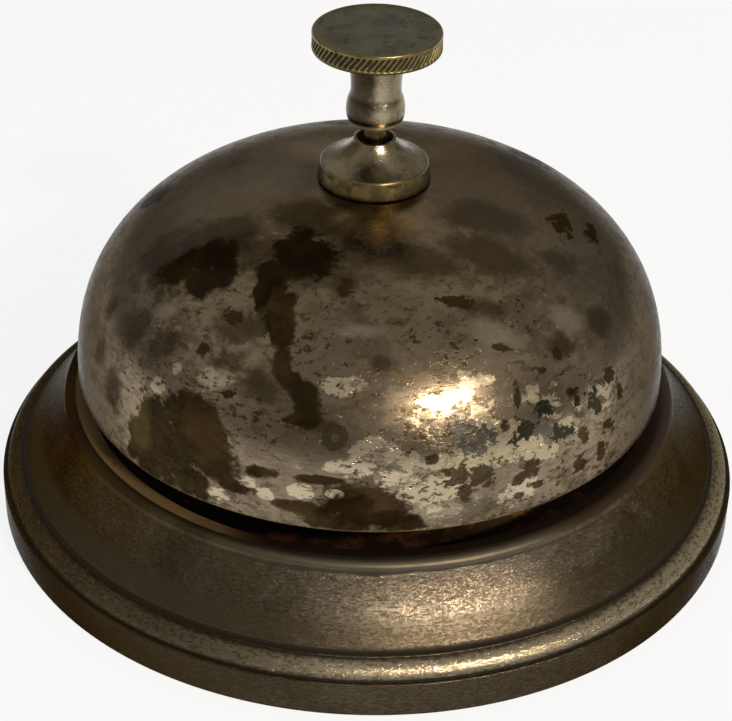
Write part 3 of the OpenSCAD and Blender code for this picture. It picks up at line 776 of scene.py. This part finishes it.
GOLD_FLAKES = (
    (28, 32.6, 1.4, 0.9), (28.5, 29.6, 4.8, 1.6), (24.5, 30.8, 2.6, 1.3), (17, 29.6, 3.6, 1.4),
    (8, 30.4, 1.8, 1), (33, 35.5, 1.9, 1), (20.5, 38, 1.7, 1.5), (24.5, 38.1, 1.4, 1),
    (34.5, 28.1, 2.8, 1.2), (140, 32.2, 3.4, 1.4), (212, 34.4, 3, 1.2))


def gong_finish():
    """Worn nickel over brass: tarnish, stains, freckles and a flaked patch, with painted shade on
    the flanks and the top.
    """
    material, n, shader, place, at, marks = start_turned("gong_plate", 5.0, 5.0)
    flat = n.stretch(place, (1.0, 1.0, 1.7))
    cloudy = n.noise(place, 60.0, 6.0, 0.66, 0.5)
    crisp = n.noise(flat, 520.0, 6.0, 0.72, 0.2)
    broad = n.noise(place, 170.0, 7.0, 0.72, 0.15)
    fine_edge = n.times(n.minus(crisp, 0.5), 5.0)
    ragged = n.plus(n.times(n.minus(broad, 0.5), 3.6), n.times(fine_edge, 0.24))
    busy = n.level(n.plus(at["Up"], n.times(broad, 9.0)), 55.5, 46.0)
    side = side_of(n, at)
    shaded_flanks = n.level(n.calc("ABSOLUTE", side), 0.7, 0.95)
    busy = n.times(busy, n.level(shaded_flanks, 0.0, 1.0, 1.0, 0.5, smooth=False))

    colour = n.ramp(cloudy, 0.35, 0.65, (123, 108, 89), (156, 139, 116))
    mild = n.times(n.level(crisp, 0.44, 0.6), n.level(busy, 0.0, 1.0, 0.12, 0.5))
    colour = n.blend(mild, colour, shade(104, 94, 76))
    # Browner towards the top: tarnish, and painted shade of the top
    browned_and_shaded_top = n.times(n.level(at["Up"], 37.0, 48.5), n.level(cloudy, 0.34, 0.6, 0.4, 1.0))
    colour = n.tint(colour, browned_and_shaded_top, 0.5, (127, 106, 75))
    streaks = n.level(marks, 0.38, 0.66)
    colour = n.tint(colour, streaks, 0.22, (74, 64, 46))

    pale = patches(n, place, n.times(ragged, 0.8), PALE_PATCHES, 0.07)
    pale = n.times(pale, n.level(crisp, 0.60, 0.55))
    warm = patches(n, place, n.times(ragged, 0.6), WARM_PATCHES, 0.5)
    colour = n.tint(colour, warm, 0.7, (172, 140, 92))
    colour = n.tint(colour, pale, 0.84, (202, 185, 156))

    film = freckled(n, flat, 110.0, 0.40, 0.05, 0.5)
    film = n.times(film, n.level(crisp, 0.36, 0.5))
    colour = n.tint(colour, film, n.level(busy, 0.0, 1.0, 0.35, 0.6), (88, 78, 60))
    middling = freckled(n, flat, 330.0, 0.30, 0.012)
    middling = n.times(middling, busy)
    colour = n.tint(colour, middling, 0.6, (78, 66, 46))
    small = freckled(n, flat, 880.0, 0.30, 0.012)
    sparse = n.level(n.noise(place, 95.0, 4.0, 0.6), 0.40, 0.56)
    small = n.times(small, sparse, busy)
    colour = n.tint(colour, small, 0.85, (62, 50, 32))

    flaked = patches(n, place, ragged, FLAKED_AREAS)
    light = n.use(FLAKES, Vector=flat, Scale=230.0, Cover=0.54, Line=0.008)
    finer = n.use(FLAKES, Vector=flat, Scale=560.0, Cover=0.30, Line=0.012)
    torn = torn_place(n, place)
    gold = patches(n, torn, 0.0, GOLD_FLAKES, 0.03)
    grey = patches(n, torn, 0.0, GREY_FLAKES, 0.03)
    dark = patches(n, torn, 0.0, DARK_FLAKES, 0.03)
    golden = n.most(gold, n.times(flaked, light["Islands"]))
    colour = n.tint(colour, golden, 0.88, (186, 170, 138))
    lines = n.times(flaked, n.most(light["Outline"], finer["Outline"]))
    colour = n.tint(colour, lines, 0.75, (66, 56, 38))
    bits = n.times(n.times(flaked, finer["Islands"]), n.minus(1.0, gold))
    colour = n.tint(colour, bits, 0.85, (86, 75, 55))
    colour = n.blend(grey, colour, shade(104, 97, 84))
    colour = n.blend(dark, colour, shade(60, 57, 44))

    thin = freckled(n, n.stretch(place, (1.0, 1.0, 4.5)), 420.0, 0.16, 0.012)
    thin = n.times(thin, sparse, busy)
    colour = n.tint(colour, thin, 0.85, (56, 45, 28))
    glints = freckled(n, flat, 1050.0, 0.16, 0.02)
    glints = n.times(n.times(glints, busy), n.level(broad, 0.46, 0.58))
    colour = n.tint(colour, glints, 0.6, (196, 184, 158))

    lighter = patches(n, place, n.times(ragged, 0.5), LIGHTER, 0.6)
    colour = n.tint(colour, lighter, 0.5, (166, 153, 132))
    clouds = patches(n, place, n.times(ragged, 0.7), CLOUDS, 0.55)
    colour = n.tint(colour, clouds, 0.8, (64, 54, 37))
    smoked = patches(n, place, n.times(ragged, 0.5), SMOKED, 0.5)
    colour = n.tint(colour, smoked, 0.8, (46, 37, 20))
    # Painted shade on both flanks
    colour = n.tint(colour, shaded_flanks, 0.5, (80, 75, 68))
    brown = patches(n, place, n.times(ragged, 0.7), BROWN_STAINS, 0.16)
    brown = n.times(brown, n.level(pale, 0.0, 1.0, 1.0, 0.15, smooth=False))
    tones = n.noise(place, 130.0, 4.0, 0.6, 0.6)
    inner = n.ramp(tones, 0.40, 0.66, (34, 25, 6), (62, 45, 18))
    colour = n.blend(n.times(brown, 0.94), colour, inner)
    stain_edge = between(n, brown, 0.15, 0.75, 0.2)
    colour = n.tint(colour, stain_edge, 0.4, (42, 32, 14))
    olive = patches(n, place, ragged, OLIVE_PATCHES, 0.45)
    colour = n.tint(colour, olive, 0.45, (90, 80, 50))
    black = patches(n, place, n.times(ragged, 0.75), BLACK_STAINS, 0.24)
    charred = n.times(black, 0.96)
    burnt = n.ramp(tones, 0.4, 0.7, (26, 17, 3), (46, 34, 12))
    colour = n.blend(charred, colour, burnt)

    spots = patches(n, place, n.times(fine_edge, 0.9), SMALL_STAINS, 0.06)
    colour = n.tint(colour, spots, 0.9, (58, 46, 27))

    ring_edge = n.times(fine_edge, 0.25)
    ring_out = patches(n, place, ring_edge, RING_OUTSIDE)
    ring_in = patches(n, place, ring_edge, RING_INSIDE)
    ring = n.calc("SUBTRACT", ring_out, ring_in, clamp=True)
    colour = n.tint(colour, ring, 0.7, (66, 56, 38))

    dots = n.use(PITS, Vector=flat, Scale=900.0, Size=0.26, Share=0.10)["Mask"]
    clean = n.minus(1.0, n.most(brown, black))
    dots = n.times(dots, busy, clean)
    colour = n.blend(dots, colour, shade(34, 26, 14))

    rim = between(n, at["Up"], RIM_Z - 1.0, RIM_Z + 0.3, 0.12)
    colour = n.tint(colour, rim, 0.8, (112, 96, 58))

    dirt = n.most(brown, black)
    rough = n.level(crisp, 0.42, 0.60, 0.17, 0.27)
    rough = n.plus(rough, n.times(dirt, 0.10))
    rough = n.plus(rough, n.times(n.most(streaks, film, browned_and_shaded_top), 0.05))
    rough = n.plus(rough, n.times(n.most(small, middling), 0.08))
    metal = n.level(dirt, 0.0, 1.0, 1.0, 0.92, smooth=False)
    height = n.minus(n.times(marks, 0.14), n.times(dots, 0.7))
    relief = n.minus(n.times(crisp, 0.17), n.times(n.most(small, middling), 0.12))
    relief = n.minus(relief, n.times(lines, 0.15))
    height = n.plus(height, n.times(relief, n.level(clean, 0.0, 1.0, 0.3, 1.0)))
    set_finish(n, shader, colour, rough, metal, height, 0.00012, 0.5)
    n.plug(shader, {"Specular Tint": (0.44, 0.43, 0.42, 1)})
    return material


def base_finish():
    """Turned metal under brown tarnish: grainy wear, rust on the left, dirt and painted shade in
    the creases.
    """
    material, n, shader, place, at, marks = start_turned("base_plate", 7.0, 7.0)
    side = side_of(n, at)
    flat = n.stretch(place, (1.0, 1.0, 4.0))
    cloudy = n.noise(place, 45.0, 5.0, 0.6, 0.4)
    broad = n.noise(place, 110.0, 6.0, 0.72, 0.5)
    grain = n.noise(flat, 1300.0, 6.0, 0.75)
    wander = n.minus(broad, 0.5)

    colour = n.ramp(cloudy, 0.36, 0.64, (107, 98, 83), (130, 119, 102))
    # Painted shade: darker away from the front, where the lamp lights the base
    off_lit_front = n.calc("ABSOLUTE", n.minus(side, 0.2))
    off_lit_front = n.level(n.plus(off_lit_front, n.times(wander, 1.4)), 0.22, 0.56)
    colour = n.tint(colour, off_lit_front, 0.9, (82, 73, 55))
    rusty = n.level(n.plus(side, n.times(wander, 1.2)), -0.85, -0.30, 1.0, 0.0)
    rust = n.ramp(cloudy, 0.4, 0.6, (44, 33, 17), (66, 50, 27))
    colour = n.blend(n.times(rusty, 0.9), colour, rust)
    blotched = freckled(n, place, 170.0, 0.42, 0.03, 0.4)
    blotched = n.times(blotched, n.level(side, 0.35, 0.7, 0.25, 1.0))
    colour = n.tint(colour, blotched, 0.5, (60, 48, 30))

    smooth_band = n.level(n.plus(at["Up"], n.times(wander, 1.6)), 15.4, 15.8)
    rough_part = n.minus(1.0, smooth_band)
    patchy = n.level(n.noise(place, 80.0, 4.0, 0.6), 0.36, 0.56, 0.35, 1.0)
    dashes = freckled(n, flat, 620.0, 0.26, 0.02)
    grit = freckled(n, flat, 1300.0, 0.44, 0.03)
    dashes = n.most(n.times(dashes, patchy), n.times(grit, 0.8))
    dashes = n.times(dashes, rough_part)
    colour = n.tint(colour, dashes, 0.78, (56, 45, 30))
    # Pale worn specks, kept mostly in the lit front, so partly painted sparkle
    worn = freckled(n, flat, 1500.0, 0.30, 0.03)
    worn = n.times(worn, rough_part)
    worn = n.times(worn, n.level(n.most(off_lit_front, rusty), 0.0, 1.0, 0.75, 0.12, smooth=False))
    colour = n.blend(worn, colour, shade(172, 156, 132))
    streaks = n.level(marks, 0.36, 0.64)
    colour = n.tint(colour, streaks, 0.25, (62, 52, 36))
    # Painted shade at the flare's foot, which ends the lamp's highlight above it
    shaded_foot = n.level(n.plus(at["Up"], n.times(wander, 3.0)), 11.4, 9.6)
    shaded_foot = n.times(shaded_foot, n.level(at["Up"], 7.3, 7.6))
    colour = n.tint(colour, shaded_foot, 0.7, (76, 67, 51))
    far_right = n.level(side, 0.35, 0.7)
    colour = n.tint(colour, far_right, 0.35, (62, 51, 35))
    ahead = n.level(n.calc("ABSOLUTE", n.minus(side, 0.1)), 0.3, 0.6, 1.0, 0.0)
    plain = n.times(smooth_band, ahead)
    colour = n.tint(colour, plain, 0.55, (78, 72, 59))

    # Darker band at the foot: tarnish, and painted dark reflection of the floor
    band = n.level(at["Up"], 5.3, 5.0)
    colour = n.tint(colour, band, 0.78, (56, 48, 34))
    bead = between(n, at["Up"], 5.9, 7.25, 0.25)
    bead = n.times(bead, n.level(at["Out"], 49.7, 50.0))
    # Lighter on the bead's right and front: wear, and painted highlight
    bead_wear_and_light = n.times(bead, n.level(grit, 0.0, 1.0, 1.0, 0.4))
    bead_wear_and_light = n.times(bead_wear_and_light, n.level(side, -0.5, 0.1, 0.1, 1.0))
    colour = n.tint(colour, bead_wear_and_light, 0.7, (186, 171, 140))
    # Dark creases: dirt, and painted shade
    crease_a = between(n, at["Up"], 5.0, 5.5, 0.16)
    crease_a = n.times(crease_a, n.level(at["Out"], 52.55, 52.35))
    crease_b = between(n, at["Up"], 7.34, 7.9, 0.12)
    crease = n.most(crease_a, crease_b)
    colour = n.tint(colour, crease, 0.88, (30, 24, 13))

    # Painted highlight: a light line along the lip's front
    lip = between(n, at["Up"], 16.5, 18.0, 0.15)
    lip = n.times(n.times(lip, ahead), n.level(broad, 0.34, 0.5, 0.3, 1.0))
    colour = n.tint(colour, lip, 0.2, (138, 128, 104))
    right_lip = n.times(n.level(at["Up"], 16.3, 16.6), n.level(side, 0.4, 0.7))
    colour = n.tint(colour, right_lip, 0.9, (50, 37, 23))
    shelf = between(n, at["Out"], 39.55, 41.85, 0.2)
    shelf = n.times(shelf, n.level(at["Up"], 15.2, 15.9))
    # Painted light and shade on the shelf: lit tan on the left, shaded dark elsewhere
    shelf_light_and_shade = n.ramp(side, -0.5, -0.3, (100, 81, 53), (40, 27, 15))
    colour = n.blend(shelf, colour, shelf_light_and_shade)
    # Bare brass on the left of the shelf, painted lighter as if lit
    bare = between(n, side, -0.98, -0.46, 0.05)
    bare = n.times(n.times(bare, shelf), n.level(broad, 0.42, 0.5, 0.35, 1.0))
    colour = n.tint(colour, bare, 0.8, (138, 112, 72))

    well = n.times(n.level(at["Out"], 39.7, 39.55), n.level(at["Up"], 9.0, 9.5))
    flecks = freckled(n, place, 260.0, 0.4, 0.06)
    well_tone = n.blend(flecks, shade(26, 17, 9), shade(66, 36, 16))
    # Rust in the well, painted lighter on the right as if lit
    lit_rust = n.blend(flecks, shade(74, 54, 34), shade(150, 96, 50))
    well_tone = n.blend(n.level(side, 0.35, 0.7), well_tone, lit_rust)
    colour = n.blend(well, colour, well_tone)
    under = n.times(n.level(at["Up"], 6.8, 6.4), n.level(at["Out"], 49.5, 49.2))
    under_tone = n.ramp(cloudy, 0.4, 0.6, (60, 55, 48), (88, 64, 42))
    colour = n.blend(under, colour, under_tone)

    rough = n.level(grain, 0.3, 0.7, 0.13, 0.21)
    rough = n.plus(rough, n.times(n.most(crease, well, under), 0.3))
    rough = n.plus(rough, n.times(n.level(at["Up"], 16.1, 16.5), 0.3))
    rough = n.plus(rough, n.times(n.most(dashes, rusty, blotched, shaded_foot), 0.1))
    dull = n.most(n.times(crease, 0.5), n.times(well, 0.8), n.times(under, 0.6),
                  n.times(shelf, 0.5), n.times(right_lip, 0.5))
    metal = n.minus(1.0, dull)
    fine = n.times(n.times(grain, 0.8), n.level(smooth_band, 0.0, 1.0, 1.0, 0.25, smooth=False))
    height = n.plus(n.times(marks, 0.35), fine)
    height = n.minus(height, n.times(dashes, 0.3))
    set_finish(n, shader, colour, rough, metal, height, 0.00009, 0.7)
    n.plug(shader, {"Specular Tint": (0.38, 0.37, 0.36, 1)})
    return material


def trim_finish():
    """Polished plating of the collar nut and neck, worn to brass at the flange."""
    material, n, shader, place, at, marks = start_turned("trim_plate", 2.0, 9.0)
    cloudy = n.noise(place, 260.0, 4.0, 0.6, 0.4)
    side = side_of(n, at)
    colour = n.ramp(cloudy, 0.38, 0.62, (100, 89, 64), (140, 128, 100))
    streaks = n.level(marks, 0.38, 0.64)
    colour = n.tint(colour, streaks, 0.3, (86, 76, 56))
    above = n.level(at["Up"], 56.4, 56.6)
    # Painted shade on the neck's left side
    edge = n.plus(side, n.times(n.minus(cloudy, 0.5), 1.2))
    shaded_left = n.times(above, n.level(edge, -0.25, 0.12, 1.0, 0.0))
    colour = n.tint(colour, shaded_left, 0.9, (58, 49, 35))
    flange = between(n, at["Up"], CROWN_Z - 1.0, CROWN_Z + 2.6, 0.25)
    tones = n.noise(place, 420.0, 4.0, 0.6)
    brass = n.ramp(tones, 0.4, 0.62, (112, 97, 58), (78, 66, 38))
    colour = n.blend(n.times(flange, 0.85), colour, brass)
    mottled = freckled(n, place, 1100.0, 0.26, 0.04)
    colour = n.tint(colour, mottled, 0.6, (62, 52, 34))
    # Dark at the flange's foot and inside the cup: grime, and painted shade
    foot = between(n, at["Up"], CROWN_Z - 1.0, CROWN_Z + 0.25, 0.2)
    cup = n.times(n.level(at["Out"], 2.62, 2.5), n.level(at["Up"], 57.0, 56.5))
    grime_and_shade = n.most(foot, cup)
    colour = n.tint(colour, grime_and_shade, 0.85, (28, 21, 12))
    # Painted light at the neck's foot, standing in for a reflection
    lit_neck_foot = between(n, at["Up"], NECK_Z, NECK_Z + 1.1, 0.2)
    colour = n.tint(colour, lit_neck_foot, 0.5, (190, 176, 146))
    cone = n.level(at["Up"], CROWN_Z + 4.4, CROWN_Z + 3.4)
    lit = n.times(cone, n.level(at["Up"], CROWN_Z + 2.5, CROWN_Z + 2.8))
    colour = n.tint(colour, lit, 0.12, (172, 160, 132))
    # Painted highlight: a light stripe down the cone's front right
    cone_highlight = between(n, side, 0.02, 0.45, 0.18)
    cone_highlight = n.times(cone_highlight, n.level(at["Up"], CROWN_Z + 2.6, CROWN_Z + 3.6))
    colour = n.tint(colour, cone_highlight, 0.5, (196, 184, 156))
    rough = n.level(cloudy, 0.3, 0.7, 0.13, 0.24)
    rough = n.plus(rough, n.times(cone, 0.13))
    rough = n.plus(rough, n.times(grime_and_shade, 0.3))
    rough = n.plus(rough, n.times(mottled, 0.15))
    metal = n.level(n.most(grime_and_shade, lit_neck_foot), 0.0, 1.0, 1.0, 0.5, smooth=False)
    height = n.minus(n.times(marks, 0.5), n.times(mottled, 0.3))
    set_finish(n, shader, colour, rough, metal, height, 0.00006, 0.6)
    return material


def button_finish():
    """Bare brass, dark in the knurl's cuts and patinated on the face."""
    material, n, shader, place, at, marks = start_turned("button_brass", 3.0, 6.0)
    cloudy = n.noise(place, 190.0, 5.0, 0.6, 0.5)
    brass = n.ramp(cloudy, 0.36, 0.64, (112, 102, 66), (138, 126, 86))
    face = n.level(at["Up"], 70.4, 70.7)
    face = n.times(face, n.level(at["Out"], BUTTON_R - 0.3, BUTTON_R - 0.7))
    tones = n.noise(place, 320.0, 5.0, 0.62, 0.3)
    patina = n.ramp(tones, 0.36, 0.62, (78, 70, 56), (102, 93, 72))
    patina = n.blend(n.level(at["Out"], 5.4, 8.2, 0.0, 0.5), patina, shade(86, 79, 52))
    colour = n.blend(n.times(face, 0.92), brass, patina)
    spots = freckled(n, place, 700.0, 0.3, 0.05)
    colour = n.tint(colour, spots, 0.5, (60, 52, 34))
    knurled = between(n, at["Up"], BUTTON_Z + 0.42, BUTTON_Z + 2.18, 0.05)
    cut = n.times(knurled, n.level(at["Out"], BUTTON_R - 0.05, BUTTON_R - 0.22))
    cut = n.times(cut, n.level(at["Out"], 8.0, 8.2))
    colour = n.tint(colour, cut, 0.88, (44, 35, 17))
    below = n.level(at["Up"], BUTTON_Z + 0.42, BUTTON_Z + 0.3)
    colour = n.tint(colour, below, 0.75, (66, 56, 32))
    rim = n.level(at["Up"], BUTTON_Z + 2.5, BUTTON_Z + 2.7)
    rim = n.times(rim, n.minus(1.0, face))
    colour = n.tint(colour, rim, 0.7, (104, 93, 62))
    rough = n.level(cloudy, 0.3, 0.7, 0.24, 0.38)
    rough = n.plus(rough, n.times(n.most(cut, spots), 0.15))
    rough = n.plus(rough, n.times(knurled, 0.15))
    metal = n.level(cut, 0.0, 1.0, 1.0, 0.6, smooth=False)
    height = n.minus(n.times(marks, 0.4), n.times(spots, 0.3))
    set_finish(n, shader, colour, rough, metal, height, 0.00006, 0.5)
    return material


def plain_finish(name, light, dark, stained, rough_low, rough_high, scale=300.0, metal=1.0):
    """A finish of the inner pieces: two tones with freckles of rust or dirt."""
    material, n, shader, place = start_finish(name)
    cloudy = n.noise(place, scale, 5.0, 0.6, 0.3)
    colour = n.ramp(cloudy, 0.36, 0.64, dark, light)
    spots = freckled(n, place, scale * 3, 0.28, 0.05)
    colour = n.tint(colour, spots, 0.7, stained)
    rough = n.level(cloudy, 0.3, 0.7, rough_low, rough_high)
    rough = n.plus(rough, n.times(spots, 0.2))
    height = n.minus(n.times(cloudy, 0.4), n.times(spots, 0.4))
    set_finish(n, shader, colour, rough, metal, height, 0.00006, 0.5)
    return material


# Making the pieces

steel = plain_finish("inner_steel", (150, 146, 138), (120, 114, 104), (92, 60, 36), 0.32, 0.5)
blued = plain_finish("spring_steel", (112, 114, 120), (84, 86, 92), (56, 44, 36), 0.25, 0.4)
rod_brass = plain_finish("rod_brass", (120, 100, 62), (92, 74, 42), (62, 44, 24), 0.25, 0.42)
fibre = plain_finish("fibre", (112, 66, 46), (86, 46, 32), (50, 28, 20), 0.7, 0.85,
                     scale=500.0, metal=0.0)
trim = trim_finish()

finish_piece(turned(gong_profile()), "gong_shell", "base", "gong_plate", gong_finish(), "gong")
finish_piece(turned(base_profile()), "turned_base", "base", "base_plate", base_finish(),
             "base_casting")
finish_piece(dented_collar(), "collar", "base", "trim_plate", trim, "collar_nut")
finish_piece(turned(neck_profile(), NECK_STEPS), "neck", "plunger", "trim_plate", trim,
             "button_neck")
finish_piece(push_button(), "knurled_button", "plunger", "button_brass", button_finish(),
             "push_button")

# The spring fills the box of the return spring, on a mesh of its own
low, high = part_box("return_spring")
spring = finish_piece(spring_coil(low, high), "spring_coil", "base", "spring_steel", blued,
                      "return_spring")
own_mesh(spring)

NODE_FINISH = {
    "center_post": steel, "post_washer": steel, "post_nut": steel, "lever_bracket": steel,
    "bracket_screw": steel, "pivot_pin": steel, "plunger_stop": steel, "stop_pin": steel,
    "striker_lever": steel, "striker_blade": blued,
    "plunger_rod": rod_brass, "blade_rivets": rod_brass, "hammer_head": rod_brass,
    "hammer_rivet": rod_brass, "gong_seat_washer": fibre}
for node_name, finish in NODE_FINISH.items():
    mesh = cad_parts[node_name].data
    mesh.materials.clear()
    mesh.materials.append(finish)


# Floor, light and camera

def floor():
    """A wide pale disc that glows white to the camera and in mirrors, so its shadows are weak."""
    glow_share, floor_r = 0.85, 4.0
    bm = bmesh.new()
    bmesh.ops.create_circle(bm, cap_ends=True, segments=96, radius=floor_r)
    mesh = bpy.data.meshes.new("floor")
    bm.to_mesh(mesh)
    bm.free()
    piece = bpy.data.objects.new("floor", mesh)
    bpy.context.scene.collection.objects.link(piece)
    material, n, shader = start_finish("pale_floor")[:3]
    n.plug(shader, {"Base Color": (0.86, 0.86, 0.85, 1), "Roughness": 0.9,
                    "Specular IOR Level": 0.1})
    path = n.add("ShaderNodeLightPath").outputs
    seen = n.most(path["Is Camera Ray"], path["Is Glossy Ray"], path["Is Transmission Ray"])
    glow = n.add("ShaderNodeEmission", {"Color": (1, 1, 1, 1), "Strength": 1.0}).outputs[0]
    share = n.times(seen, glow_share)
    mixed = n.add("ShaderNodeMixShader", {0: share, 1: shader.outputs[0], 2: glow}).outputs[0]
    n.plug(n.tree.nodes["Material Output"], {"Surface": mixed})
    mesh.materials.append(material)


def lamp():
    """One warm rectangle of light, before the bell and high to its right."""
    light = bpy.data.lights.new("key", "AREA")
    light.shape = "RECTANGLE"
    light.size, light.size_y = LAMP_SIZE
    light.energy = LAMP_POWER
    light.color = LAMP_COLOUR
    made = bpy.data.objects.new("key", light)
    made.location = LAMP_PLACE
    ahead = Vector(LAMP_AIM) - Vector(LAMP_PLACE)
    made.rotation_euler = ahead.to_track_quat("-Z", "Y").to_euler()
    bpy.context.scene.collection.objects.link(made)


def room():
    """Soft grey light from all round, weaker near the horizon."""
    world = bpy.data.worlds.new("room")
    bpy.context.scene.world = world
    world.use_nodes = True
    n = Nodes(world.node_tree)
    ray = n.add("ShaderNodeTexCoord").outputs["Generated"]
    up = n.add("ShaderNodeSeparateXYZ", {0: ray}).outputs[2]
    tone = n.blend(n.level(up, 0.05, 0.55), (0.28, 0.275, 0.265, 1), (0.46, 0.45, 0.425, 1))
    n.plug(n.tree.nodes["Background"], {"Color": tone})


def camera():
    """Looks down on the bell from the front, as in the photograph."""
    pitch, yaw, roll = map(math.radians, (PITCH, YAW, ROLL))
    turn = (Matrix.Rotation(math.pi / 2 - pitch, 3, "X") @ Matrix.Rotation(yaw, 3, "Y")
            @ Matrix.Rotation(roll, 3, "Z"))
    data = bpy.data.cameras.new("camera")
    data.lens = LENS
    data.sensor_width = SENSOR
    made = bpy.data.objects.new("camera", data)
    made.matrix_world = Matrix.Translation(CAMERA_PLACE) @ turn.to_4x4()
    bpy.context.scene.collection.objects.link(made)
    bpy.context.scene.camera = made


floor()
room()
camera()
lamp()
bpy.context.scene.view_settings.view_transform = "Standard"
